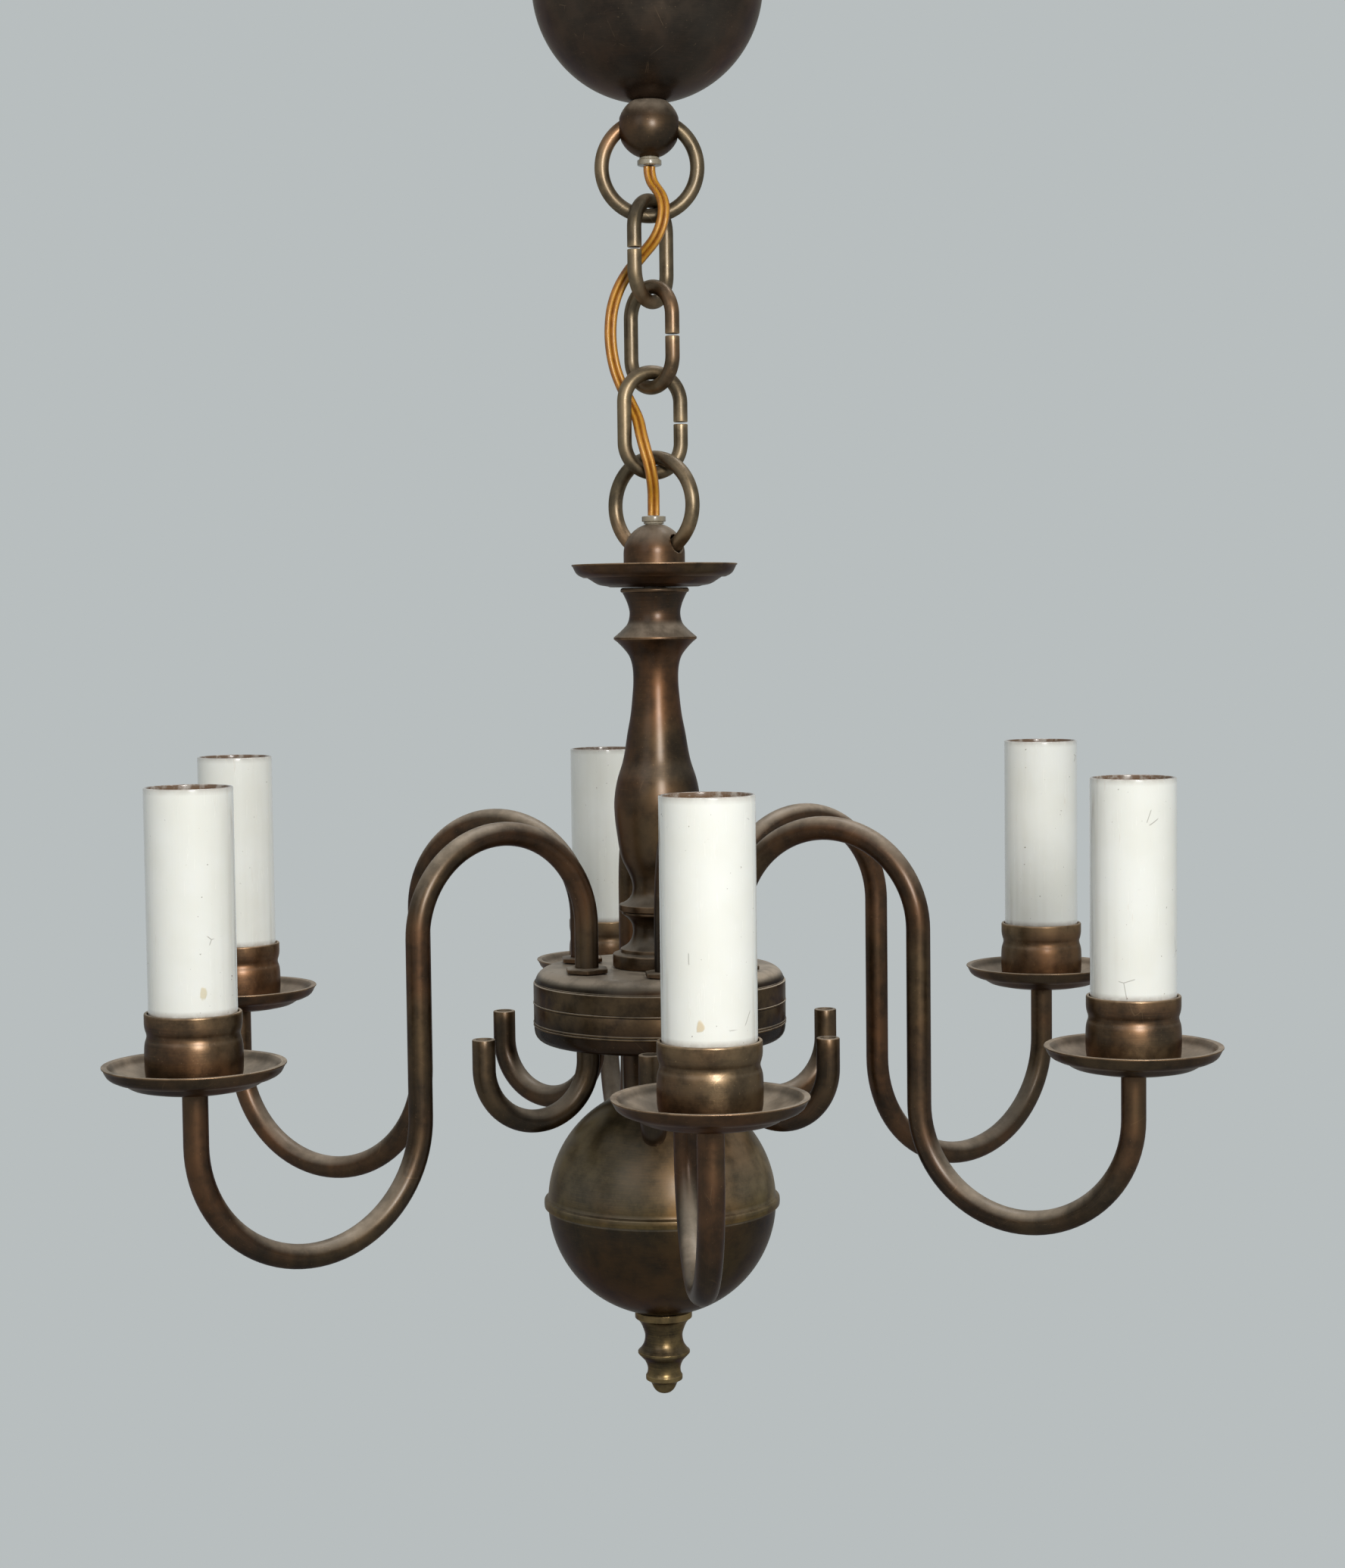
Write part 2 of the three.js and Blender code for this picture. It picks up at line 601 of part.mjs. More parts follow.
// A stamped dish with its floor's underside at bottomZ.
function dishOutline(bottomZ, boreRadius) {
  const stepFoot = DISH_STEP_RADIUS - DISH_STEP_WIDTH;
  const topZ = bottomZ + DISH_DEPTH;
  const stepZ = bottomZ + DISH_STEP_HEIGHT;
  const shoulderZ = bottomZ + DISH_SHOULDER.y;
  return [
    [boreRadius, bottomZ],
    [DISH_FLOOR_RADIUS, bottomZ],
    [stepFoot, stepZ],
    [DISH_STEP_RADIUS, stepZ],
    [DISH_SHOULDER.x, shoulderZ],
    [DISH_RIM_RADIUS, topZ],
    [DISH_RIM_RADIUS - SHEET, topZ],
    [DISH_SHOULDER.x - SHEET, shoulderZ + SHEET / 2],
    [DISH_STEP_RADIUS - SHEET, stepZ + SHEET],
    [DISH_FLOOR_RADIUS, bottomZ + SHEET],
    [boreRadius, bottomZ + SHEET],
  ];
}

function topDish() {
  return named("top_dish", turned(dishOutline(topDishUndersideZ, rodHoleRadius), DISH_SIDES), BRONZE);
}

function baluster() {
  const at = (share) => balusterTopZ - share * BALUSTER_HEIGHT;
  const lipZ = at(0.01);
  const waist = [BALUSTER_WAIST_RADIUS, at(0.079)];
  const ridge = [BALUSTER_RIDGE_RADIUS, at(0.156)];
  const neck = [BALUSTER_NECK_RADIUS, at(0.29)];
  const bellyRadius = BALUSTER_BELLY_RADIUS;
  const belly = [bellyRadius, at(0.678)];
  const ankle = [BALUSTER_ANKLE_RADIUS, at(0.929)];
  const ring = [BALUSTER_RING_RADIUS, at(0.984)];
  const coreRadius = bellyRadius - BALUSTER_WALL;
  const lip = [BALUSTER_COLLAR_RADIUS, lipZ];
  const outline = [
    [rodHoleRadius, balusterTopZ],
    [BALUSTER_COLLAR_RADIUS, balusterTopZ],
    lip,
    ...stretch(lip, waist, 3, cove(2)),
    waist,
    ...stretch(waist, ridge, 3, flare(2)),
    ridge,
    ...stretch(ridge, neck, 3, cove(2.8)),
    neck,
    ...stretch(neck, belly, 4, swell(1.15)),
    belly,
    ...stretch(belly, ankle, 4, swell(1.6)),
    ankle,
    ...stretch(ankle, ring, 2, flare(2.4)),
    ring,
    [BALUSTER_RING_RADIUS, balusterBottomZ],
    [rodHoleRadius, balusterBottomZ],
    [rodHoleRadius, at(0.86)],
    [coreRadius, at(0.74)],
    [coreRadius, at(0.62)],
    [rodHoleRadius, at(0.42)],
  ];
  return named("baluster", turned(outline), BRONZE);
}

function balusterFoot() {
  const at = (share) => footTopZ - share * FOOT_HEIGHT;
  const flangeTopZ = footBottomZ + FOOT_FLANGE_HEIGHT;
  const top = [FOOT_TOP_RADIUS, footTopZ];
  const waist = [FOOT_WAIST_RADIUS, at(0.34)];
  const shoulder = [FOOT_SHOULDER_RADIUS, flangeTopZ + (at(0) - footBottomZ) * 0.05];
  const outline = [
    [rodHoleRadius, footTopZ],
    top,
    ...stretch(top, waist, 3, cove(2)),
    waist,
    ...stretch(waist, shoulder, 3, flare(2.2)),
    shoulder,
    [FOOT_FLANGE_RADIUS, flangeTopZ],
    [FOOT_FLANGE_RADIUS, footBottomZ],
    [rodHoleRadius, footBottomZ],
  ];
  return named("baluster_foot", turned(outline), BRONZE);
}

// Round holes through the drum's sheet for the arms' legs or the hooks' stubs.
function circleOfHoles(count, firstTurn, circleRadius, holeRadius, middleZ) {
  const holes = [];
  for (let index = 0; index < count; index += 1) {
    const reach = DRUM_SHEET + OVERCUT;
    const opening = hole(holeRadius, middleZ - reach, middleZ + reach, TUBE_SIDES);
    opening.translate(circleRadius, 0, 0);
    holes.push(opening.rotateZ(planAngle(firstTurn + (360 * index) / count)));
  }
  return holes;
}

// Arms and hooks are counted from straight ahead, which is -Y, turning to the right.
function planAngle(turnDegrees) {
  return THREE.MathUtils.degToRad(turnDegrees - 90);
}

function drumCover() {
  const inside = DRUM_RADIUS - DRUM_SHEET;
  const filletZ = drumTopZ - DRUM_TOP_FILLET;
  const filletR = DRUM_RADIUS - DRUM_TOP_FILLET;
  const rimZ = drumSeamZ + SEAT_GAP / 2;
  const outline = [
    [rodHoleRadius, drumTopZ],
    ...arc([filletR, filletZ], DRUM_TOP_FILLET, 90, 0, 3),
    [DRUM_RADIUS, rimZ],
    [inside, rimZ],
    ...arc([filletR, filletZ], DRUM_TOP_FILLET - DRUM_SHEET, 0, 90, 2),
    [rodHoleRadius, drumTopZ - DRUM_SHEET],
  ];
  const holeRadius = ARM_TUBE_RADIUS + SLIP_GAP;
  const cut = circleOfHoles(ARM_COUNT, FIRST_ARM_TURN, ARM_SEAT_RADIUS, holeRadius, drumTopZ);
  return named("drum_cover", combine(turned(outline, DRUM_SIDES), { cut }), BRONZE);
}

function drumBase() {
  const inside = DRUM_RADIUS - DRUM_SHEET;
  const filletZ = drumBottomZ + DRUM_BASE_FILLET;
  const filletR = DRUM_RADIUS - DRUM_BASE_FILLET;
  const rimZ = drumSeamZ - SEAT_GAP / 2;
  const outline = [
    [rodHoleRadius, drumBottomZ],
    ...arc([filletR, filletZ], DRUM_BASE_FILLET, -90, 0, 2),
    [DRUM_RADIUS, rimZ],
    [inside, rimZ],
    ...arc([filletR, filletZ], DRUM_BASE_FILLET - DRUM_SHEET, 0, -90, 1),
    [rodHoleRadius, drumBottomZ + DRUM_SHEET],
  ];
  const holeRadius = HOOK_TUBE_RADIUS + SLIP_GAP;
  const cut = circleOfHoles(HOOK_COUNT, FIRST_HOOK_TURN, HOOK_SEAT_RADIUS, holeRadius, drumBottomZ);
  return named("drum_base", combine(turned(outline, DRUM_SIDES), { cut }), BRONZE);
}

function drumStem() {
  const inside = STEM_RADIUS - STEM_WALL;
  const tube = washer(inside, STEM_RADIUS, stemTubeBottomZ, stemTubeTopZ);
  return named("drum_stem", tube, BRONZE);
}

// Half of the lower ball; side is +1 for the upper half and -1 for the lower one.
function ballHalf(name, side) {
  const inside = BALL_RADIUS - BALL_SHEET;
  const seamZ = SEAT_GAP / 2 - (side * BEAD_HEIGHT) / 2;
  const wallZ = SEAT_GAP / 2 + BEAD_HEIGHT / 2;
  const wallAngle = THREE.MathUtils.radToDeg(Math.asin(wallZ / BALL_RADIUS));
  const insideAngle = THREE.MathUtils.radToDeg(Math.asin(seamZ / inside));
  const bead = [
    [BEAD_RADIUS, seamZ],
    [BEAD_RADIUS, wallZ],
  ];
  const outline = [
    ...(side > 0 ? bead : []),
    ...arc([0, 0], BALL_RADIUS, wallAngle, angleOnBall(BALL_RADIUS, rodHoleRadius), 6),
    ...arc([0, 0], inside, angleOnBall(inside, rodHoleRadius), insideAngle, 4),
  ];
  const flipped = outline.map(([radius, z]) => [radius, ballZ + side * z]);
  return named(name, turned(flipped, DRUM_SIDES), DARK_BRONZE);
}

function finial() {
  const at = (share) => finialTopZ - share * FINIAL_HEIGHT;
  const lip = [FINIAL_FLANGE_RADIUS, at(0.04)];
  const neck = [FINIAL_NECK_RADIUS, at(0.23)];
  const ridge = [FINIAL_RIDGE_RADIUS, at(0.49)];
  const waist = [FINIAL_WAIST_RADIUS, at(0.65)];
  const bead = [FINIAL_WAIST_RADIUS + 0.6, at(0.8)];
  const tipMiddle = [0, at(1) + FINIAL_TIP_RADIUS];
  const threadEndZ = finialTopZ - FINIAL_THREAD_DEPTH;
  const outline = [
    [0, threadEndZ],
    [rodHoleRadius, threadEndZ],
    [rodHoleRadius, finialTopZ],
    [FINIAL_FLANGE_RADIUS, finialTopZ],
    lip,
    ...stretch(lip, neck, 2, cove(2)),
    neck,
    ...stretch(neck, ridge, 2, flare(2)),
    ridge,
    ...stretch(ridge, waist, 2, cove(1.8)),
    waist,
    bead,
    ...arc(tipMiddle, FINIAL_TIP_RADIUS, 0, -90, 3).slice(0, -1),
    [0, at(1)],
  ];
  return named("finial", turned(outline), DARK_BRONZE);
}

function columnRod() {
  const tube = washer(ROD_BORE_RADIUS, ROD_RADIUS, rodBottomZ, rodTopZ, SMALL_SIDES);
  const reach = ROD_RADIUS + OVERCUT;
  const window = disc(WIRE_WINDOW_RADIUS, 0, reach, TUBE_SIDES).rotateY(Math.PI / 2);
  window.translate(0, 0, (drumTopZ + drumBottomZ) / 2);
  return named("column_rod", combine(tube, { cut: [window] }), STEEL);
}

// Arms, candles and hooks

// The middle line of an arm in the plane of its own leg, with the leg at x = 0.
function armLine({ reach, lift }, extra = 0) {
  const legBottomZ = drumTopZ - DRUM_SHEET - SEAT_GAP - ARM_NUT_HEIGHT - ARM_STUB;
  const line = new BentLine(0, legBottomZ - extra, 90, ARM_STEPS);
  line.straight(drumTopZ + ARM_LEG - legBottomZ + extra);
  line.bend(ARM_ARCH_RADIUS, -180).straight(ARM_DROP);
  line.bend(ARM_BOWL_RADIUS + reach / 2, 180).straight(ARM_RISE + lift + extra);
  return line;
}

function armTip(bend) {
  return armLine(bend).end;
}

function armGeometry(bend) {
  const line = armLine(bend);
  const tip = line.end;
  const tube = tubeAlong(line, ARM_TUBE_RADIUS, TUBE_SIDES, line.stations);
  const flangeZ = drumTopZ + SEAT_GAP;
  const flange = disc(ARM_FLANGE_RADIUS, flangeZ, flangeZ + ARM_FLANGE_HEIGHT, 6);
  const nutTopZ = drumTopZ - DRUM_SHEET - SEAT_GAP;
  const nut = disc(ARM_NUT_RADIUS, nutTopZ - ARM_NUT_HEIGHT, nutTopZ, BORE_SIDES);
  const threadTopZ = tip.z + candleFloorHeight() + ARM_THREAD_REACH;
  const thread = disc(ARM_THREAD_RADIUS, tip.z - OVERCUT, threadTopZ, TUBE_SIDES);
  thread.translate(tip.x, 0, 0);
  const overrun = threadTopZ - tip.z + OVERCUT;
  const boreLine = armLine(bend, overrun);
  const bore = tubeAlong(boreLine, ARM_BORE_RADIUS, BORE_SIDES, boreLine.stations);
  return combine(tube, { add: [flange, nut, thread], cut: [bore] });
}

// From the arm's shoulder up to the lampholder's seat on the cup's floor.
function candleFloorHeight() {
  return SEAT_GAP + SHEET + SEAT_GAP + SHEET + SEAT_GAP;
}

function candleCup() {
  const rimZ = CUP_HEIGHT;
  const ledgeZ = rimZ - CUP_LEDGE_DEPTH;
  const bore = ARM_THREAD_RADIUS + SLIP_GAP;
  const inside = SLEEVE_RADIUS + SLIP_GAP;
  const ledgeInside = inside - CUP_LEDGE_WIDTH;
  const grooveZ = rimZ - CUP_RIM_HEIGHT - 1.6;
  const outline = [
    [bore, 0],
    [CUP_FLOOR_RADIUS, 0],
    [CUP_BULGE_RADIUS, CUP_BULGE_BOTTOM],
    [CUP_BULGE_RADIUS, CUP_BULGE_TOP],
    [CUP_GROOVE_RADIUS, grooveZ],
    [CUP_RIM_RADIUS, rimZ - CUP_RIM_HEIGHT],
    [CUP_RIM_RADIUS, rimZ],
    [inside, rimZ],
    [inside, ledgeZ],
    [ledgeInside, ledgeZ],
    [CUP_FLOOR_RADIUS - SHEET, SHEET],
    [bore, SHEET],
  ];
  return turned(outline);
}

function candleSleeve() {
  const bottomZ = CUP_HEIGHT - CUP_LEDGE_DEPTH + SEAT_GAP;
  const topZ = bottomZ + SLEEVE_LENGTH;
  return washer(SLEEVE_RADIUS - SLEEVE_WALL, SLEEVE_RADIUS, bottomZ, topZ);
}

function lampholder() {
  const sleeveTopZ = CUP_HEIGHT - CUP_LEDGE_DEPTH + SEAT_GAP + SLEEVE_LENGTH;
  const topZ = sleeveTopZ - HOLDER_TOP_INSET;
  const bottomZ = SHEET + SEAT_GAP;
  const bodyZ = topZ - HOLDER_BODY_HEIGHT;
  const threadRadius = ARM_THREAD_RADIUS + SLIP_GAP;
  const wireChannelRadius = threadRadius / 2;
  const outline = [
    [threadRadius, bottomZ],
    [HOLDER_PILLAR_RADIUS, bottomZ],
    [HOLDER_PILLAR_RADIUS, bodyZ],
    [HOLDER_RADIUS, bodyZ],
    [HOLDER_RADIUS, topZ],
    [HOLDER_SOCKET_RADIUS, topZ],
    [HOLDER_SOCKET_RADIUS, topZ - HOLDER_SOCKET_DEPTH],
    [wireChannelRadius, topZ - HOLDER_SOCKET_DEPTH],
    [wireChannelRadius, bottomZ + HOLDER_THREAD_DEPTH],
    [threadRadius, bottomZ + HOLDER_THREAD_DEPTH],
  ];
  return turned(outline, HOLDER_SIDES);
}

function armAssembly(index) {
  const bend = ARM_BENDS[index];
  const number = index + 1;
  const tip = armTip(bend);
  const candle = new THREE.Group();
  candle.position.set(tip.x, 0, tip.z + SEAT_GAP);
  const saucer = turned(dishOutline(0, ARM_THREAD_RADIUS + SLIP_GAP));
  candle.add(named(`drip_saucer_${number}`, saucer, BRONZE));
  const cup = named(`candle_cup_${number}`, candleCup(), BRONZE);
  const holder = named(`lampholder_${number}`, lampholder(), BAKELITE);
  const sleeve = named(`candle_sleeve_${number}`, candleSleeve(), IVORY);
  for (const piece of [cup, holder, sleeve]) {
    piece.position.z = SHEET + SEAT_GAP;
    candle.add(piece);
  }
  const arm = new THREE.Group();
  arm.add(named(`arm_${number}`, armGeometry(bend), BRONZE));
  arm.add(candle);
  const seatAngle = planAngle(FIRST_ARM_TURN + (360 * index) / ARM_COUNT);
  arm.position.set(ARM_SEAT_RADIUS * Math.cos(seatAngle), ARM_SEAT_RADIUS * Math.sin(seatAngle), 0);
  arm.rotation.z = seatAngle + THREE.MathUtils.degToRad(bend.turn);
  return arm;
}

function scrollHook(index) {
  const collarTopZ = drumBottomZ - SEAT_GAP;
  const stubTopZ = drumBottomZ + DRUM_SHEET + HOOK_STUB;
  const bendZ = drumBottomZ - HOOK_DROP;
  const hookLine = (extra) => {
    const line = new BentLine(HOOK_SEAT_RADIUS, stubTopZ + extra, -90, HOOK_STEPS);
    line.straight(stubTopZ + extra - bendZ).bend(HOOK_BEND_RADIUS, 180);
    return line.straight(HOOK_RISE + extra);
  };
  const line = hookLine(0);
  const tube = tubeAlong(line, HOOK_TUBE_RADIUS, TUBE_SIDES, line.stations);
  const bore = tubeAlong(hookLine(OVERCUT), HOOK_BORE_RADIUS, BORE_SIDES, line.stations);
  const collar = disc(HOOK_COLLAR_RADIUS, collarTopZ - HOOK_COLLAR_HEIGHT, collarTopZ, SMALL_SIDES);
  collar.translate(HOOK_SEAT_RADIUS, 0, 0);
  const hook = combine(tube, { add: [collar], cut: [bore] });
  const mesh = named(`scroll_hook_${index + 1}`, hook, BRONZE);
  mesh.rotation.z = planAngle(FIRST_HOOK_TURN + (360 * index) / HOOK_COUNT);
  return mesh;
}

// The whole chandelier

const chandelier = new THREE.Group();
chandelier.add(ceilingStrap(), canopyBowl(), canopyLocknut(), terminalBlock(), canopyLoop());
chandelier.add(cordBush("upper_cord_bush", upperLoopZ, -1));
chandelier.add(chainRing("upper_ring", upperRingZ, UPPER_RING_TURN));
for (const [index] of LINK_TURNS.entries()) chandelier.add(chainLink(index));
chandelier.add(chainRing("lower_ring", lowerRingZ, LOWER_RING_TURN));
chandelier.add(supplyCord());
chandelier.add(cordBush("lower_cord_bush", lowerLoopZ, 1));
chandelier.add(columnLoop(), topDish(), baluster(), balusterFoot());
chandelier.add(drumCover(), drumBase(), drumStem());
chandelier.add(ballHalf("ball_upper_half", 1), ballHalf("ball_lower_half", -1));
chandelier.add(finial(), columnRod());
for (let index = 0; index < ARM_COUNT; index += 1) chandelier.add(armAssembly(index));
for (let index = 0; index < HOOK_COUNT; index += 1) chandelier.add(scrollHook(index));

export default chandelier;
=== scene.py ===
# Dresses the six-arm brass chandelier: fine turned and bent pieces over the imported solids, with
# their finishes, the cord, the studio and the camera. X is to the right, Y away and Z up. Sizes are
# in millimetres, and become metres when a mesh is made; those of the studio are in metres.
import math

import bmesh
import bpy
from mathutils import Matrix, Vector


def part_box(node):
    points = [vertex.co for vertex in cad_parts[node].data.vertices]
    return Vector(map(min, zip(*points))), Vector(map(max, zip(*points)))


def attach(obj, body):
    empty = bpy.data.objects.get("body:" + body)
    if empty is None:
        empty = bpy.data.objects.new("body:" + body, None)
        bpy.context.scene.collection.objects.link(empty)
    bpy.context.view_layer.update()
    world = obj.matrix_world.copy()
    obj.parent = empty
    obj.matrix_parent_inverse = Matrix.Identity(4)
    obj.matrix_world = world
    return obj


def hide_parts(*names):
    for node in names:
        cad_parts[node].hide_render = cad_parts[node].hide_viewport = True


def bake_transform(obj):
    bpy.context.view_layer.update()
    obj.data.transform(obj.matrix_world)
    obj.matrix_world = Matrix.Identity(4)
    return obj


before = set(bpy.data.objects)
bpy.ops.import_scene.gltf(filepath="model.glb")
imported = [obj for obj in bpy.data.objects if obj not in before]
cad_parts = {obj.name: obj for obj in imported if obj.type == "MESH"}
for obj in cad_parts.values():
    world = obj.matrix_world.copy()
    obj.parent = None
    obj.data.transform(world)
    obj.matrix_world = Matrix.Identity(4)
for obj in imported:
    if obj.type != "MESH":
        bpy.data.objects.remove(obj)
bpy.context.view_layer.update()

MM = 0.001
SEAT_GAP = 0.3
SLIP_GAP = 0.4
SHEET = 1
ROD_RADIUS = 5
ROD_HOLE = ROD_RADIUS + SLIP_GAP

# The camera of the photograph: long lens, a little above the drum, tipped down and rolled
CAMERA_PLACE = (-0.0046, -1.1117, -0.260)
CAMERA_LENS = 62.49
CAMERA_PITCH = math.radians(-3.57)
CAMERA_YAW = math.radians(0.563)
CAMERA_ROLL = math.radians(-0.686)


def add_object(name, data):
    """A new object in the scene, with this mesh, camera or light."""
    piece = bpy.data.objects.new(name, data)
    bpy.context.scene.collection.objects.link(piece)
    return piece


def add_camera():
    data = bpy.data.cameras.new("camera")
    data.lens = CAMERA_LENS
    data.sensor_width = 36
    camera = add_object("camera", data)
    turn = Matrix.Rotation(-CAMERA_YAW, 4, "Z") @ Matrix.Rotation(math.pi / 2 + CAMERA_PITCH, 4, "X")
    turn = turn @ Matrix.Rotation(CAMERA_ROLL, 4, "Z")
    camera.matrix_world = Matrix.Translation(CAMERA_PLACE) @ turn
    bpy.context.scene.camera = camera


add_camera()
bpy.context.scene.view_settings.view_transform = "Standard"


# Node trees


class Graph:
    """The node tree of a material or a world, built one node at a time."""

    def __init__(self, owner):
        self.owner = owner
        owner.use_nodes = True
        self.tree = owner.node_tree
        self.tree.nodes.clear()

    def feed(self, socket, value):
        if isinstance(value, bpy.types.NodeSocket):
            self.tree.links.new(value, socket)
        else:
            socket.default_value = value

    def add(self, kind, values=None, **settings):
        node = self.tree.nodes.new("ShaderNode" + kind)
        for key, value in settings.items():
            setattr(node, key, value)
        for key, value in (values or {}).items():
            self.feed(node.inputs[key], value)
        return node

    def math(self, operation, a, b=0.0, clamp=False):
        return self.add("Math", {0: a, 1: b}, operation=operation, use_clamp=clamp).outputs[0]

    def ramp(self, value, low, high, to_low=0.0, to_high=1.0):
        """The value's way from low to high, eased, as a number from to_low to to_high."""
        values = {"Value": value, "From Min": low, "From Max": high, "To Min": to_low, "To Max": to_high}
        return self.add("MapRange", values, interpolation_type="SMOOTHSTEP").outputs[0]

    def mix(self, share, a, b):
        return self.add("Mix", {0: share, 2: a, 3: b}, data_type="FLOAT").outputs[0]

    def blend(self, share, a, b):
        a = (*a, 1) if isinstance(a, tuple) else a
        b = (*b, 1) if isinstance(b, tuple) else b
        return self.add("Mix", {0: share, 6: a, 7: b}, data_type="RGBA").outputs[2]

    def noise(self, scale, detail=3.0, roughness=0.55, where=None, lift=0.0):
        place = self.object_place() if where is None else where
        if lift:
            place = self.add("VectorMath", {0: place, 1: (lift, lift, lift)}).outputs[0]
        values = {"Scale": scale, "Detail": detail, "Roughness": roughness, "Vector": place}
        return self.add("TexNoise", values).outputs["Fac"]

    def cell_edges(self, scale, outer, inner):
        """1 along the thin edges of random cells, eased off between these two distances."""
        values = {"Vector": self.object_place(), "Scale": scale}
        cells = self.add("TexVoronoi", values, feature="DISTANCE_TO_EDGE")
        return self.ramp(cells.outputs["Distance"], outer, inner)

    def object_place(self):
        return self.add("TexCoord").outputs["Object"]

    def attribute(self, name, output="Fac"):
        return self.add("Attribute", attribute_name=name).outputs[output]

    def bump(self, height, strength, distance, normal=None):
        values = {"Height": height, "Strength": strength, "Distance": distance}
        if normal is not None:
            values["Normal"] = normal
        return self.add("Bump", values).outputs[0]

    def seen(self):
        """1 for what the camera sees straight, reflected or through a clear piece, and 0 for light."""
        rays = self.add("LightPath").outputs
        seen = self.math("MAXIMUM", rays["Is Camera Ray"], rays["Is Glossy Ray"])
        return self.math("MAXIMUM", seen, rays["Is Transmission Ray"])

    def finish(self, values):
        """Ends the tree in one surface shader with these values."""
        shader = self.add("BsdfPrincipled", values)
        self.add("OutputMaterial", {"Surface": shader.outputs[0]})
        return self.owner


def material_graph(name):
    return Graph(bpy.data.materials.new(name))


# Finishes

DUST = (0.36, 0.3, 0.23)


def bronze(name, dark, brown, worn, dust=0.82, roughness=0.44, dusty=(0.15, 0.8), haze=0.03, scratched=0.16):
    """Antique bronze lacquer on brass: dark patina, brown where it thins, a little worn on its
    edges, scratched, and dusty where it faces up. Grain runs with the metal's turning or drawing."""
    g = material_graph(name)
    grain = g.noise(2.2, 4, 0.6, g.attribute("grain", "Vector"))
    broad = g.noise(24, 3, 0.5)
    cloud = g.noise(110, 5, 0.65, lift=3.1)
    speck = g.noise(1100, 2, 0.5, lift=7.7)
    thin = g.math("ADD", g.math("MULTIPLY", broad, 0.7), g.math("MULTIPLY", cloud, 0.3))
    red = (brown[0] * 1.25, brown[1] * 0.9, brown[2] * 0.75)
    brown = g.blend(g.ramp(g.noise(17, 3, 0.5, lift=5.5), 0.4, 0.62), brown, red)
    colour = g.blend(g.ramp(thin, 0.3, 0.7), dark, brown)
    colour = g.blend(g.ramp(grain, 0.4, 0.75, 0, 0.3), colour, brown)
    colour = g.blend(g.ramp(cloud, 0.6, 0.3, 0, 0.35), colour, tuple(0.6 * value for value in dark))
    wear = g.math("MULTIPLY", g.attribute("wear"), g.ramp(cloud, 0.3, 0.62, 0.2, 0.75), clamp=True)
    chips = g.ramp(speck, 0.68, 0.76, 0, 0.3)
    scratch = g.cell_edges(60.0, 0.012, 0.003)
    scratch = g.math("MULTIPLY", scratch, g.ramp(g.noise(75, 2, 0.5, lift=12.0), 0.58, 0.66, 0, scratched))
    worn_share = g.math("MAXIMUM", g.math("MAXIMUM", wear, chips), scratch)
    colour = g.blend(worn_share, colour, worn)
    up = g.ramp(g.attribute("up"), *dusty)
    film = g.math("MULTIPLY", up, g.ramp(cloud, 0.3, 0.7, 0.6, 1))
    patches = g.noise(26, 3, 0.5, lift=21.0)
    film = g.math("MULTIPLY", film, g.ramp(patches, 0.36, 0.6, 0.7 * dust, dust))
    film = g.math("MAXIMUM", film, g.ramp(patches, 0.35, 0.65, 0.2 * haze, haze))
    lint = g.math("MULTIPLY", up, g.ramp(speck, 0.62, 0.72, 0, 0.7 * dust))
    film = g.math("MAXIMUM", film, lint, clamp=True)
    colour = g.blend(film, colour, DUST)
    rough = g.mix(g.ramp(cloud, 0.35, 0.7), roughness - 0.04, roughness + 0.08)
    rough = g.mix(worn_share, rough, 0.3)
    rough = g.mix(film, rough, 0.85)
    metal = g.mix(film, 1.0, 0.12)
    normal = g.bump(grain, 0.18, 0.0001)
    normal = g.bump(cloud, 0.12, 0.0002, normal)
    normal = g.bump(speck, g.mix(film, 0.05, 0.3), 0.0002, normal)
    return g.finish({
        "Base Color": colour, "Metallic": metal, "Roughness": rough, "Normal": normal,
        "Coat Weight": 0.3, "Coat Roughness": 0.27, "Specular Tint": (0.4, 0.33, 0.26, 1),
    })


def zinc_steel():
    g = material_graph("zinc_steel")
    grain = g.noise(90, 4, 0.6)
    cloud = g.noise(260, 4, 0.6, lift=2.0)
    colour = g.blend(g.ramp(cloud, 0.35, 0.7), (0.5, 0.5, 0.47), (0.36, 0.36, 0.35))
    colour = g.blend(g.ramp(grain, 0.6, 0.75, 0, 0.4), colour, (0.3, 0.25, 0.19))
    rough = g.mix(cloud, 0.3, 0.52)
    return g.finish({
        "Base Color": colour, "Metallic": 1.0, "Roughness": rough, "Normal": g.bump(cloud, 0.25, 0.0002),
    })


